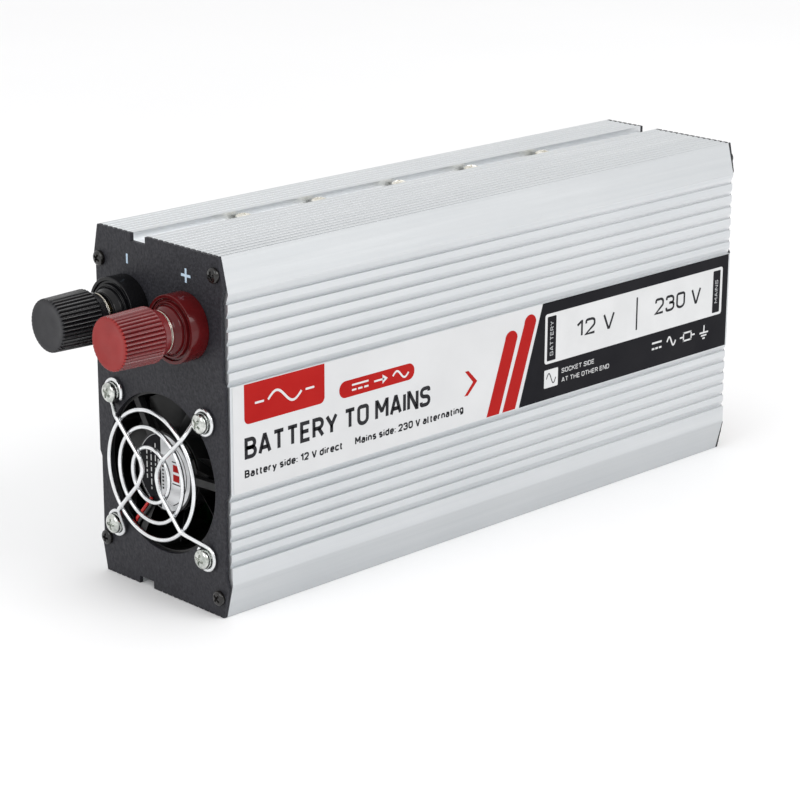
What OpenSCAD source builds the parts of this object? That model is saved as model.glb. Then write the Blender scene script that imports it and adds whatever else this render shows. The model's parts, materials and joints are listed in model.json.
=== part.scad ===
// Portable DC to AC power inverter. Millimetres.
// X runs along the case: -X is the battery and fan end, +X is the outlet end.
// -Y is the labelled side. The case stands on its narrow side, on z = 0.

/* [Case] */
// Length between the outer faces of the two end plates
length = 274.5; // [262:0.5:320]
// Height of the case as it stands
height = 131; // [129:0.5:140]
// Thickness of each end plate
plate_t = 1.5; // [1:0.1:1.9]
// Depth of the small cooling grooves in the narrow faces
groove_d = 0.7; // [0.3:0.05:0.9]
// Spacing of the ribs on the wide faces
rib_pitch = 4.87; // [4.4:0.01:4.9]
// Depth of the step under each rib
rib_d = 1.0; // [0.4:0.05:1.1]
// Depth of the wide screw channel
channel_d = 2.8; // [2:0.1:3]

/* [Terminals] */
// Height of the terminal axes
term_z = 103.6; // [102:0.1:106]
// Side position of the red terminal
red_y = -15.7; // [-17:0.1:-14]
// Side position of the black terminal
black_y = 16.6; // [14:0.1:17]
// How far the black clamp stands further out than the red one
black_out = 1.4; // [0:0.1:2]
// Radius of the insulating collar
collar_r = 12.2; // [11:0.1:12.6]
// Largest radius of the clamp knob
knob_r = 10; // [9:0.1:10.4]
// Length of the clamp knob
knob_l = 21; // [18:0.1:24]
// Number of knurl grooves on the knob
knurl_n = 40; // [24:1:44]
// Radius of the threaded stud
stud_r = 4; // [3.5:0.05:4.5]

/* [Fan] */
// Side position of the fan axis
fan_y = 0.1; // [-1.6:0.1:0.5]
// Height of the fan axis
fan_z = 45.8; // [45.7:0.1:47]
// Depth of the fan frame
fan_d = 25; // [20:0.5:25]
// Radius of the opening in the end plate
fan_hole_r = 29.5; // [28:0.1:29.6]
// Half the spacing of the fan screws
fan_s = 25; // [24.9:0.05:25.1]
// Radius of the guard wire
wire_r = 0.8; // [0.7:0.05:1.05]

/* [Outlet end] */
// Height of the outlet centre
outlet_z = 86; // [84:0.5:90]
// Height of the rocker switch centre
switch_z = 34; // [30:0.5:38]
// Tilt of the rocker either side of level
rocker_tilt = 9; // [6:0.5:10]

/* [Hidden] */
$fn = 64;
L = length / 2;
H = height;
xi = -L + plate_t;                 // inner face of the battery-end plate
xo = L - plate_t;                  // inner face of the outlet-end plate
w = 36.3;                          // half width over the ribs
wi = 32.6;                         // half width of the cavity
side_top = H - 12.7;
ch0 = 6.06; ch1 = 14.08;           // sides of the wide screw channel
ps = [[31.6, H - 12.1], [-31.1, H - 6.6], [31.8, 13.2], [-31.0, 7.2]];
case_x = [for (d = [0, 37, 78.5, 118, 159]) d - 88.2];
case_y = 10.07;
pcb_y = 22;
clear = 0.06;

module xc(x0, x1, y, z, r) { translate([x0, y, z]) rotate([0, 90, 0]) cylinder(h = x1 - x0, r = r); }
module xk(x0, x1, y, z, r0, r1) { translate([x0, y, z]) rotate([0, 90, 0]) cylinder(h = x1 - x0, r1 = r0, r2 = r1); }
module yc(y0, y1, x, z, r) { translate([x, y0, z]) rotate([-90, 0, 0]) cylinder(h = y1 - y0, r = r); }
module zc(z0, z1, x, y, r) { translate([x, y, z0]) cylinder(h = z1 - z0, r = r); }
module bx(x0, x1, y0, y1, z0, z1) { translate([x0, y0, z0]) cube([x1 - x0, y1 - y0, z1 - z0]); }
module ring(x, y, z, R, r) { translate([x, y, z]) rotate([0, 90, 0]) rotate_extrude() translate([R, 0]) circle(r = r); }
module along_x(x0, x1) { translate([x0, 0, 0]) rotate([90, 0, 90]) linear_extrude(height = x1 - x0) children(); }
module rod(a, b, r) {
  d = b - a; l = norm(d);
  translate(a) rotate([0, acos(d[2] / l), atan2(d[1], d[0])]) cylinder(h = l, r = r);
}
module wire(p, r, k = 1.08) { for (i = [0:len(p) - 2]) { rod(p[i], p[i + 1], r); if (i > 0) translate(p[i]) sphere(r = r * k); } }

// ---- case section, drawn as y across and z up ----
function ribs(z0, n) = [for (i = [0:n - 1], k = [0:2])
  k == 0 ? [-w + 0.3, z0 - rib_pitch * i] : k == 1 ? [-w + 0.3, z0 - rib_pitch * i - 2.45]
  : [-w + 0.3 + rib_d, z0 - rib_pitch * (i + 1)]];
side = concat([[-33, H], [-w, side_top], [-w + 0.3 + rib_d, H - 16.4]], ribs(H - 16.4, 6),
  [[-w, 85.38], [-w, 46], [-w + 0.3 + rib_d, 43.5]], ribs(43.5, 5), [[-w, 19.15], [-w, 12.7], [-33, 0]]);
module v_groove(y, z) { polygon([[y - 0.6, z + 0.2], [y - 0.5, z], [y, z - groove_d], [y + 0.5, z], [y + 0.6, z + 0.2]]); }
module grooves(y0 = 3, n = 12) { for (i = [0:n]) v_groove(y0 - 2.91 * i, H); for (i = [0:5]) v_groove(17 + 2.75 * i, H); }
// the narrow faces: grooves and screw channel on top and, a little shifted, underneath
module narrow_cuts() {
  grooves(); translate([ch0, H - channel_d]) square([ch1 - ch0, 5]);
  translate([0, H]) mirror([0, 1]) { grooves(1.5, 11); translate([ch0, H - channel_d]) square([ch1 - ch0, 5]); }
}
module outline() {
  difference() {
    polygon(concat(side, [for (i = [len(side) - 1:-1:0]) [-side[i][0], side[i][1]]]));
    narrow_cuts();
  }
}
module cavity() { polygon([[-30.4, 2.7], [30.4, 2.7], [wi, 12.8], [wi, H - 12.8], [30.4, H - 2.7], [-30.4, H - 2.7], [-wi, H - 12.8], [-wi, 12.8]]); }
module screw_boss(p) { translate(p) circle(r = 3.1); }
module screw_core(p) { translate(p) circle(r = 1.5); }

module front_wall() { difference() { outline(); cavity(); translate([ch0, -1]) square([60, H + 2]); } }
module back_wall() { difference() { outline(); cavity(); translate([-50, -1]) square([50 + ch1, H + 2]); } }
module bosses(k) { intersection() { outline(); for (i = k) screw_boss(ps[i]); } }
module cores(k) { along_x(xi - 1, xo + 1) for (i = k) screw_core(ps[i]); }
module strip(y0, y1, z0, z1) { bx(xi, xo, y0, y1, z0, z1); bx(xi, xo, y0, y1, H - z1, H - z0); }
module case_holes(r, z0, z1) { for (x = case_x) { zc(z0, z1, x, case_y, r); zc(H - z1, H - z0, x, case_y, r); } }
module front_shell() color([0.80, 0.81, 0.82]) difference() {
  union() {
    along_x(xi, xo) front_wall();
    for (i = [1, 3]) along_x(xi, xo) bosses([i]);
    strip(2.5, ch1 - 0.05, 2.8, 4.4);
    strip(2.5, ch0 - 0.5, 2.2, 3.4);
  }
  cores([1, 3]);
  case_holes(1.7, H - 6, H + 1);
}
module back_shell() color([0.80, 0.81, 0.82]) difference() {
  union() {
    along_x(xi, xo) back_wall();
    for (i = [0, 2]) along_x(xi, xo) bosses([i]);
    strip(4, 17, 4.4, 6.6);
    strip(ch1, 17, 2, 5.5);
    strip(pcb_y - 1.7, pcb_y - 0.05, 2, 7);
    strip(pcb_y + 1.65, pcb_y + 3.3, 2, 7);
  }
  cores([0, 2]);
  case_holes(1.5, H - 9, H + 1);
}

// ---- end plates ----
plate_side = [[-32.9, H], [-35.3, H - 11.5], [-34.2, H - 15], [-34.2, 87], [-35.2, 85.4], [-35.2, 46], [-34.2, 44], [-34.2, 15], [-35.3, 11.5], [-32.9, 0]];
module plate_outline() {
  difference() {
    polygon(concat(plate_side, [for (i = [len(plate_side) - 1:-1:0]) [-plate_side[i][0], plate_side[i][1]]]));
    narrow_cuts();
    for (p = ps) translate(p) circle(r = 1.7);
  }
}
module dc_end_plate() color([0.13, 0.13, 0.14]) along_x(-L, xi) difference() {
  plate_outline();
  translate([fan_y, fan_z]) circle(r = fan_hole_r, $fn = 96);
  for (a = [-1, 1], b = [-1, 1]) translate([fan_y + a * fan_s, fan_z + b * fan_s]) circle(r = 2.2);
  translate([red_y, term_z]) circle(r = 7);
  translate([black_y, term_z]) circle(r = 7);
}
module ac_end_plate() color([0.13, 0.13, 0.14]) along_x(xo, L) difference() {
  plate_outline();
  translate([-18, outlet_z - 18]) square([36, 36]);
  translate([-6.6, switch_z - 9.6]) square([13.2, 19.2]);
  for (a = [-1, 1]) translate([a * 6, 57]) circle(r = 1.6);
  translate([-16, 16]) circle(r = 2.1);
  for (i = [0:5]) translate([-24 + 9.6 * i - 1.2, 113]) square([2.4, 9]);
  for (a = [-1, 1], i = [0:3]) translate([a * 21 - 6, 26 + 5.5 * i]) square([12, 2.2]);
}
// pan head seated on x = 0, head towards -x, with a cross recess
module pan_head(r, h) {
  difference() {
    intersection() { xc(-h, 0, 0, 0, r); translate([r * 1.25 - h, 0, 0]) sphere(r = r * 1.25 + 0.02); }
    for (a = [45, 135]) rotate([a, 0, 0]) bx(-h - 1, -h * 0.45, -r * 0.5, r * 0.5, -0.38, 0.38);
  }
}
module pan_screw(r, h, s, l) { union() { pan_head(r, h); xc(-0.2, l, 0, 0, s); } }
module dc_plate_screws() color([0.08, 0.08, 0.08]) for (p = ps) translate([-L, p[0], p[1]]) pan_screw(2.75, 1.9, 1.45, 9);
module ac_plate_screws() color([0.08, 0.08, 0.08]) for (p = ps) translate([L, p[0], p[1]]) mirror([1, 0, 0]) pan_screw(2.75, 1.9, 1.45, 9);
module top_case_screws() color([0.75, 0.76, 0.78]) for (x = case_x) translate([x, case_y, H - channel_d]) rotate([0, 90, 0]) pan_screw(3, 2.6, 1.45, 9);
module bottom_case_screws() color([0.75, 0.76, 0.78]) for (x = case_x) translate([x, case_y, channel_d]) rotate([0, -90, 0]) pan_screw(3, 2.6, 1.45, 9);
module label_panel() color([0.92, 0.92, 0.92]) bx(-L + 2.6, L - 2.4, -w - 0.25, -w, 46.2, 85.2);

// ---- battery terminals, drawn on the X axis of a post with the plate face at x = 0 ----
module collar() {
  difference() {
    union() {
      xc(-6.9, 0, 0, 0, collar_r);
      difference() { xc(-7.6, -6.9, 0, 0, collar_r); xc(-8, -6.8, 0, 0, collar_r - 1.3); }
      xc(-8.2, -6.8, 0, 0, 9.9);
      xk(-9.2, -8.2, 0, 0, 9.0, 9.9);
      xk(-12, -9.2, 0, 0, 7.8, 9.0);
      xc(-0.1, plate_t + 3, 0, 0, 6.9);
    }
    xc(-13, plate_t + 4, 0, 0, stud_r + 0.02);
  }
}
module post_stud() { xc(-29, plate_t + 18, 0, 0, stud_r); }
module post_nut() {
  difference() {
    union() {
      xc(plate_t + 3, plate_t + 4.7, 0, 0, 8);
      for (q = [[4.6, 6.5], [12.7, 4.6]]) translate([plate_t + q[0], 0, 0]) rotate([0, 90, 0]) rotate([0, 0, 30]) linear_extrude(height = q[1]) polygon([for (i = [0:5]) 7.5 * [cos(60 * i), sin(60 * i)]]);
    }
    xc(plate_t + 2, plate_t + 18, 0, 0, stud_r + 0.02);
  }
}
module clamp_ring() { difference() { xc(-12.8, -12, 0, 0, 7.7); xc(-14, -11, 0, 0, stud_r + clear); } }
module knob() {
  k0 = -12.8; k1 = k0 - 2.6; k2 = k1 - 1.8; k3 = k0 - knob_l;
  difference() {
    union() {
      xc(k1, k0, 0, 0, 8);
      xk(k2, k1, 0, 0, knob_r - 0.3, 8);
      translate([k3, 0, 0]) rotate([90, 0, 90]) linear_extrude(height = k2 - k3) difference() {
        circle(r = knob_r - 0.2);
        for (i = [0:knurl_n - 1]) rotate(360 * i / knurl_n) translate([knob_r - 0.1, 0]) circle(r = 0.45, $fn = 16);
      }
    }
    xc(k3 + 2, k0 + 1, 0, 0, stud_r + clear);
    rotate([0, 90, 0]) translate([0, 0, k3]) rotate_extrude() polygon([[knob_r - 0.9, -1], [knob_r + 1, -1], [knob_r + 1, 1.0]]);
  }
}
module at_post(y) { translate([-L, y, term_z]) children(); }
module red_collar() color([0.55, 0.05, 0.06]) at_post(red_y) collar();
module red_stud() color([0.78, 0.74, 0.55]) at_post(red_y) post_stud();
module red_stud_nut() color([0.78, 0.74, 0.55]) at_post(red_y) post_nut();
module red_clamp_ring() color([0.8, 0.8, 0.8]) at_post(red_y) clamp_ring();
module red_knob() color([0.62, 0.07, 0.08]) at_post(red_y) knob();
module black_collar() color([0.04, 0.04, 0.04]) at_post(black_y) collar();
module black_stud() color([0.78, 0.74, 0.55]) at_post(black_y) post_stud();
module black_stud_nut() color([0.78, 0.74, 0.55]) at_post(black_y) post_nut();
module black_clamp_ring() color([0.8, 0.8, 0.8]) at_post(black_y) translate([-black_out, 0, 0]) clamp_ring();
module black_knob() color([0.05, 0.05, 0.05]) at_post(black_y) translate([-black_out, 0, 0]) knob();

// ---- fan ----
fx0 = xi; fx1 = xi + fan_d;
module fan_frame() color([0.06, 0.06, 0.06]) {
  difference() {
    union() {
      difference() {
        bx(fx0, fx1, fan_y - 30, fan_y + 30, fan_z - 30, fan_z + 30);
        xc(fx0 - 1, fx1 + 1, fan_y, fan_z, 28.6);
        difference() { bx(fx0 + 3.6, fx1 - 3.6, fan_y - 40, fan_y + 40, fan_z - 40, fan_z + 40); xc(fx0, fx1, fan_y, fan_z, 29.8); }
      }
      xc(fx0, fx0 + 2.6, fan_y, fan_z, 15);
      xc(fx0, fx0 + 17, fan_y, fan_z, 3.4);
      for (a = [57.5, 177.5, 297.5]) translate([0, fan_y, fan_z]) rotate([a, 0, 0]) bx(fx0, fx0 + 2.6, 10, 29.2, -1.4, 1.4);
    }
    xc(fx0 + 2.2, fx1, fan_y, fan_z, 1.5 + clear);
    for (a = [-1, 1], b = [-1, 1]) xc(fx0 - 1, fx1 + 1, fan_y + a * fan_s, fan_z + b * fan_s, 2.15);
    translate([0, fan_y, fan_z]) rotate([311, 0, 0]) bx(fx0 - 1, fx1 + 1, 27, 33.2, -4.8, -0.8);
  }
}
module fan_stator() color([0.72, 0.42, 0.2]) difference() {
  union() {
    xc(fx0 + 4.6, fx0 + 15.5, fan_y, fan_z, 6);
    for (i = [0:3]) translate([0, fan_y, fan_z]) rotate([90 * i, 0, 0]) { bx(fx0 + 5.6, fx0 + 14.5, 5, 11, -3, 3); bx(fx0 + 7, fx0 + 13, 10, 12.2, -5, 5); }
  }
  xc(fx0 + 4, fx0 + 17, fan_y, fan_z, 3.42);
}
module fan_rotor() color([0.05, 0.05, 0.06]) {
  difference() { xc(fx0 + 4, fx1 - 2, fan_y, fan_z, 14.4); xc(fx0 + 3, fx1 - 3.6, fan_y, fan_z, 13.2); }
  xc(fx0 + 3.4, fx1 - 3, fan_y, fan_z, 1.5);
  intersection() {
    difference() { xc(fx0 + 4.8, fx1 - 2.4, fan_y, fan_z, 27.7, $fn = 96); xc(fx0, fx1, fan_y, fan_z, 14.2); }
    for (i = [0:6]) translate([(fx0 + fx1) / 2 + 1.2, fan_y, fan_z]) rotate([360 / 7 * i, 0, 0]) translate([0, 0, 20.5]) rotate([0, 0, 42]) cube([34, 1.5, 16], center = true);
  }
}
module fan_sticker() color([0.75, 0.76, 0.78]) xc(fx0 - 0.15, fx0, fan_y, fan_z, 14.2);
gx = -L - 4.65; bxr = gx - 2 * wire_r + 0.15; lx = -L - wire_r;
module fan_guard() color([0.85, 0.86, 0.87]) {
  for (R = [23.7, 17.5, 10.1]) ring(gx, fan_y, fan_z + 0.4, R, wire_r, $fn = 96);
  for (s = [-1, 1]) {
    wire([[lx, fan_y + s * 20.6, fan_z + 22.6], [bxr, fan_y + s * 17.9, fan_z + 18.8], [bxr, fan_y + s * 5, fan_z + 5.8],
      [bxr, fan_y + s * 3.4, fan_z + 2.8], [bxr, fan_y + s * 3.4, fan_z - 0.8], [bxr, fan_y + s * 5.6, fan_z - 4.6],
      [bxr, fan_y + s * 17.6, fan_z - 17], [lx, fan_y + s * 20.6, fan_z - 22.6]], wire_r);
    for (t = [-1, 1]) ring(lx, fan_y + s * fan_s, fan_z + t * fan_s, 4.5, wire_r);
  }
}
module fan_screws() color([0.8, 0.8, 0.78]) for (a = [-1, 1], b = [-1, 1]) translate([-L - 2 * wire_r, fan_y + a * fan_s, fan_z + b * fan_s]) pan_screw(3.7, 2.9, 1.95, 2 * wire_r + plate_t + fan_d + 4);
module fan_nuts() color([0.8, 0.8, 0.78]) for (a = [-1, 1], b = [-1, 1]) translate([fx1, fan_y + a * fan_s, fan_z + b * fan_s]) difference() {
  rotate([0, 90, 0]) linear_extrude(height = 3.2) polygon([for (i = [0:5]) 4 * [cos(60 * i), sin(60 * i)]]);
  xc(-1, 4, 0, 0, 2);
}
function pol(r, a, o) = [r * cos(a) - o * sin(a) + fan_y, r * sin(a) + o * cos(a) + fan_z];
module fan_lead() for (o = [-0.75, 0.75]) {
  e = fx0 - 0.82; p0 = pol(13, -49, o - 3); p1 = pol(26, -49, o - 3); p2 = pol(31.2, -49, o - 3);
  color(o > 0 ? [0.7, 0.05, 0.05] : [0.05, 0.05, 0.05])
  wire([[e, p0[0], p0[1]], [e, p1[0], p1[1]], [fx0 + 2.4, p2[0], p2[1]], [fx1 + 4, p2[0], p2[1]], [fx1 + 14, 19.5, 26 + 2 * o], [fx1 + 14, pcb_y, 26 + 2 * o]], 0.65);
}

// ---- electronics ----
bx0 = fx1 + 6; bx1 = L - 30;
module main_board() color([0.1, 0.32, 0.16]) bx(bx0, bx1, pcb_y, pcb_y + 1.6, 4.2, H - 4.2);
module bar() { difference() { bx(case_x[0] - 8, case_x[4] + 8, 4, 16, H - 14.6, H - 6.6); for (x = case_x) zc(H - 16, H, x, case_y, 1.5); } }
module flip() { translate([0, 0, H]) mirror([0, 0, 1]) children(); }
module heat_bar_top() color([0.72, 0.73, 0.75]) bar();
module heat_bar_bottom() color([0.72, 0.73, 0.75]) flip() bar();
module thermal_pads() color([0.45, 0.5, 0.62]) for (k = [0, 1]) translate([0, 0, k * H]) mirror([0, 0, k]) bx(case_x[0] - 6, case_x[4] + 6, 4, 16, H - 15, H - 14.6);
module to220s() {
  for (i = [0:7]) translate([-84 + 21 * i, 0, 0]) {
    bx(-5, 5, 9.6, 19, H - 19.5, H - 15);
    bx(-5, 5, 4, 9.7, H - 16.3, H - 15);
    for (k = [-1, 0, 1]) bx(2.54 * k - 0.4, 2.54 * k + 0.4, 18.9, pcb_y, H - 17.6, H - 17);
  }
}
module transistors_top() color([0.09, 0.09, 0.1]) to220s();
module transistors_bottom() color([0.09, 0.09, 0.1]) flip() to220s();
tr = [[-36, 66], [14, 66]];
module transformer_cores() color([0.2, 0.2, 0.22]) for (p = tr) translate([p[0], 0, p[1]]) difference() {
  bx(-21, 21, -12, 20, -20, 20);
  bx(-15, -6, -13, 21, -14, 14); bx(6, 15, -13, 21, -14, 14);
}
module transformer_windings() color([0.85, 0.68, 0.2]) for (p = tr) translate([p[0], 0, p[1]]) difference() {
  bx(-14.6, 14.6, -16, pcb_y, -13.6, 13.6); bx(-6.02, 6.02, -17, 23, -20, 20);
}
module input_capacitors() color([0.1, 0.14, 0.4]) for (z = [34, 54, 74, 94]) difference() { yc(-10, pcb_y, -80, z, 8); yc(-11, -9.6, -80, z, 5.5); }
module output_capacitors() color([0.12, 0.12, 0.13]) for (z = [44, 74]) difference() { yc(-14, pcb_y, 62, z, 11); yc(-15, -13.6, 62, z, 8); }
module filter_core() color([0.75, 0.72, 0.2]) translate([90, 11, 84]) rotate([-90, 0, 0]) rotate_extrude() translate([8, -5]) square([7, 10]);
module filter_winding() color([0.72, 0.4, 0.16]) for (i = [0:9]) translate([90, 11, 84]) rotate([0, 36 * i + 18, 0]) {
  difference() { bx(6.6, 16.4, -6.4, 6.4, -1.2, 1.2); bx(7.85, 15.06, -5.06, 5.06, -2, 2); }
  if (i % 5 == 0) bx(10.8, 12.4, 6.3, pcb_y - 11, -0.8, 0.8);
}
module control_board() color([0.1, 0.32, 0.16]) { bx(36, 37.6, -8, pcb_y, 30, 100); for (z = [40, 58, 76]) bx(37.5, 40, -2, 12, z, z + 10); }
module blade_fuses() color([0.15, 0.3, 0.6]) for (z = [54, 66, 78]) bx(-100, -95.5, 6, pcb_y, z - 9.5, z + 9.5 - 9);
module cable(y, x1, z1) {
  x0 = -L + plate_t + 11.1;
  difference() { union() { xc(x0, x0 + 1.6, y, term_z, 7.5); bx(x0, x0 + 1.6, y - 3.4, y + 3.4, term_z + 4, term_z + 13.4); } xc(x0 - 1, x0 + 3, y, term_z, stud_r + 0.02); }
  wire([[x0 + 1, y, term_z + 10.8], [x0 + 8, y, term_z + 10.8], [x1, 12, z1], [x1, pcb_y, z1]], 1.9);
}
module red_dc_cable() color([0.65, 0.05, 0.05]) cable(red_y, -98.2, 104.7);
module black_dc_cable() color([0.05, 0.05, 0.05]) cable(black_y, -98.5, 98);
module lead(p, r) { for (i = [0:len(p) - 2]) {
  d = (p[i + 1] - p[i]) / norm(p[i + 1] - p[i]);
  rod(p[i] - (i > 0 ? 0.8 * r : 0) * d, p[i + 1] + (i < len(p) - 2 ? 0.8 * r : 0) * d, i % 2 == 0 ? r : 0.88 * r);
} }
module ac_wires() {
  color([0.4, 0.22, 0.1]) lead([[L - 24.1, -8, outlet_z + 6], [L - 27, -8, outlet_z + 6], [bx1 - 4, -6, outlet_z + 8], [bx1 - 4, pcb_y, outlet_z + 8]], 1.1);
  color([0.1, 0.3, 0.7]) lead([[L - 24.1, 8, outlet_z + 6], [L - 27, 8, outlet_z + 6], [L - 28, 10, outlet_z - 16], [bx1 - 4, 12, outlet_z - 16], [bx1 - 4, pcb_y, outlet_z - 16]], 1.1);
  color([0.2, 0.6, 0.2]) lead([[L - 24.1, 0, outlet_z - 9], [L - 30, 0, outlet_z - 9], [L - 28, -16, 16], [xo - 8.05, -16, 16]], 1.1);
  color([0.05, 0.05, 0.05]) lead([[L - 21.5, 0, switch_z + 5], [L - 25, 0, switch_z + 5], [bx1 - 4, 6, switch_z + 8], [bx1 - 4, pcb_y, switch_z + 8]], 0.9);
  color([0.7, 0.05, 0.05]) lead([[L - 21.5, 0, switch_z - 5], [L - 25, 0, switch_z - 5], [bx1 - 4, 6, switch_z - 8], [bx1 - 4, pcb_y, switch_z - 8]], 0.9);
}

// ---- outlet end ----
module slots(x0, x1, g) {
  for (s = [-1, 1]) translate([0, s * 7.9, 4]) rotate([s * 30, 0, 0]) bx(x0, x1, -0.9 - g, 0.9 + g, -3.4 - g, 3.4 + g);
  bx(x0, x1, -0.9 - g, 0.9 + g, -10.6 - g, -3.8 + g);
}
module outlet_body() color([0.93, 0.93, 0.92]) translate([L, 0, outlet_z]) difference() {
  union() { bx(0, 2.6, -21, 21, -21, 21); xc(2.5, 4, 0, 0, 17.5); bx(-24, 0.1, -17.9, 17.9, -17.9, 17.9); }
  slots(-3, 5, 0);
  slots(-21, -2, 1.1);
}
module outlet_contacts() color([0.8, 0.66, 0.3]) translate([L, 0, outlet_z]) {
  for (s = [-1, 1]) translate([0, s * 7.9, 4]) rotate([s * 30, 0, 0]) for (k = [-1, 1]) bx(-21, -5, k * 1.6 - 0.4, k * 1.6 + 0.4, -3, 3);
  for (k = [-1, 1]) bx(-21, -5, k * 1.6 - 0.4, k * 1.6 + 0.4, -10, -4.4);
}
rk = [L + 0.6, 0, switch_z];
module switch_body() color([0.07, 0.07, 0.07]) difference() {
  union() { bx(L, L + 1.8, -7.6, 7.6, switch_z - 10.7, switch_z + 10.7); bx(L - 15, L + 0.1, -6.5, 6.5, switch_z - 9.5, switch_z + 9.5);
    for (z = [-5, 5]) bx(L - 21.4, L - 14, -0.4, 0.4, switch_z + z - 2.4, switch_z + z + 2.4); }
  bx(L - 9, L + 3, -5.3, 5.3, switch_z - 8.9, switch_z + 8.9);
  yc(-6.2, 6.2, rk[0], rk[2], 1.5 + clear);
}
module rocker() color([0.6, 0.05, 0.05]) translate(rk) rotate([0, rocker_tilt, 0]) difference() {
  union() {
    intersection() { translate([-3, -5, -8.1]) cube([6.8, 10, 16.2]); translate([-17.5, 0, 0]) rotate([90, 0, 0]) cylinder(h = 12, r = 21, center = true, $fn = 128); }
    yc(-6.1, 6.1, 0, 0, 1.5);
  }
  for (s = [-1, 1]) translate([27.6, 0, s * 8.6]) rotate([90, 0, 0]) cylinder(h = 12, r = 25.2, center = true, $fn = 128);
}
module status_lamps() for (a = [-1, 1]) color(a > 0 ? [0.1, 0.6, 0.2] : [0.7, 0.1, 0.1]) translate([L, a * 6, 57]) { xc(-6, 0.8, 0, 0, 1.5); translate([0.8, 0, 0]) sphere(r = 1.5); xc(-6, 0, 0, 0, 1.59); xc(-7, -plate_t, 0, 0, 1.9); }
module earth_stud() color([0.8, 0.68, 0.35]) { xc(xo - 8, L + 9, -16, 16, 2); }
module earth_nut() color([0.8, 0.68, 0.35]) {
  difference() { union() { xc(L, L + 4, -16, 16, 4.4); for (s = [-1, 1]) bx(L + 1.2, L + 7, -16 + s * 6.4 - 2.8, -16 + s * 6.4 + 2.8, 15.2, 16.8); } xc(L - 1, L + 8, -16, 16, 2.02); }
  difference() { xc(xo - 2.6, xo, -16, 16, 4.2); xc(xo - 4, xo + 1, -16, 16, 2.02); }
}

front_shell();
back_shell();
dc_end_plate();
ac_end_plate();
dc_plate_screws();
ac_plate_screws();
top_case_screws();
bottom_case_screws();
label_panel();
red_collar();
red_stud();
red_stud_nut();
red_clamp_ring();
red_knob();
black_collar();
black_stud();
black_stud_nut();
black_clamp_ring();
black_knob();
fan_frame();
fan_stator();
fan_rotor();
fan_sticker();
fan_guard();
fan_screws();
fan_nuts();
fan_lead();
main_board();
heat_bar_top();
heat_bar_bottom();
thermal_pads();
transistors_top();
transistors_bottom();
transformer_cores();
transformer_windings();
input_capacitors();
output_capacitors();
filter_core();
filter_winding();
control_board();
blade_fuses();
red_dc_cable();
black_dc_cable();
ac_wires();
outlet_body();
outlet_contacts();
switch_body();
rocker();
status_lamps();
earth_stud();
earth_nut();
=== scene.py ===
import bpy, bmesh, json, math
from mathutils import Vector, Matrix

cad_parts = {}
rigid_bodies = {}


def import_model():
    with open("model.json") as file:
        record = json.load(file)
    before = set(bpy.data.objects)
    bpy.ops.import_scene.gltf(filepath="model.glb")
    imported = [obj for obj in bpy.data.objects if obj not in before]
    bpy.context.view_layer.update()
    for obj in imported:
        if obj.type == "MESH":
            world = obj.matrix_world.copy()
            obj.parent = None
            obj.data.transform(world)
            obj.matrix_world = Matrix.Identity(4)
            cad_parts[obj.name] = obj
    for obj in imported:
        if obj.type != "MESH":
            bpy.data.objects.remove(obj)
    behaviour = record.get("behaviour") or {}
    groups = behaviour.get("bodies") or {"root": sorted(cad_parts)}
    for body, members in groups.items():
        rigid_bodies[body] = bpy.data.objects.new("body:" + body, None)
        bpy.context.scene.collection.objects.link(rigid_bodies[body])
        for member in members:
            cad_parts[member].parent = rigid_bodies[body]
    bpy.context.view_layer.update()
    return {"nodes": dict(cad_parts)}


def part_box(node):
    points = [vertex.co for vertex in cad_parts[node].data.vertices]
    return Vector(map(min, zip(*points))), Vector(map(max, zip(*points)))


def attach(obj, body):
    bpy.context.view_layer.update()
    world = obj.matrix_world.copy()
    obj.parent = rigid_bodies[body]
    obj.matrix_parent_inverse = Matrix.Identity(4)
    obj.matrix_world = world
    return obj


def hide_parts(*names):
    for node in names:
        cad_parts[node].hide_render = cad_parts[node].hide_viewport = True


for old in list(bpy.data.objects):
    bpy.data.objects.remove(old)
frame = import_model()
NODES = frame["nodes"]
SC = bpy.context.scene
SC.view_settings.view_transform = "Standard"
sin, cos, pi, rad = math.sin, math.cos, math.pi, math.radians
MM = 0.001
CASE = "case"

# ------------------------------------------------------------------ camera
az, el, roll = rad(-44.3895), rad(17.5958), rad(0.2503)
back = Vector((sin(az) * cos(el), -cos(az) * cos(el), sin(el)))
right = (-back).cross(Vector((0, 0, 1))).normalized()
up = right.cross(-back)
r2 = right * cos(roll) + up * sin(roll)
u2 = up * cos(roll) - right * sin(roll)
cd = bpy.data.cameras.new("camera")
cd.sensor_width, cd.lens = 36.0, 2536.84 * 36 / 800
cd.clip_start, cd.clip_end = 0.02, 60
cam = bpy.data.objects.new("camera", cd)
SC.collection.objects.link(cam)
cam.matrix_world = Matrix(((r2.x, u2.x, back.x, -0.67225), (r2.y, u2.y, back.y, -0.66747), (r2.z, u2.z, back.z, 0.34344), (0, 0, 0, 1)))
SC.camera = cam


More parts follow.
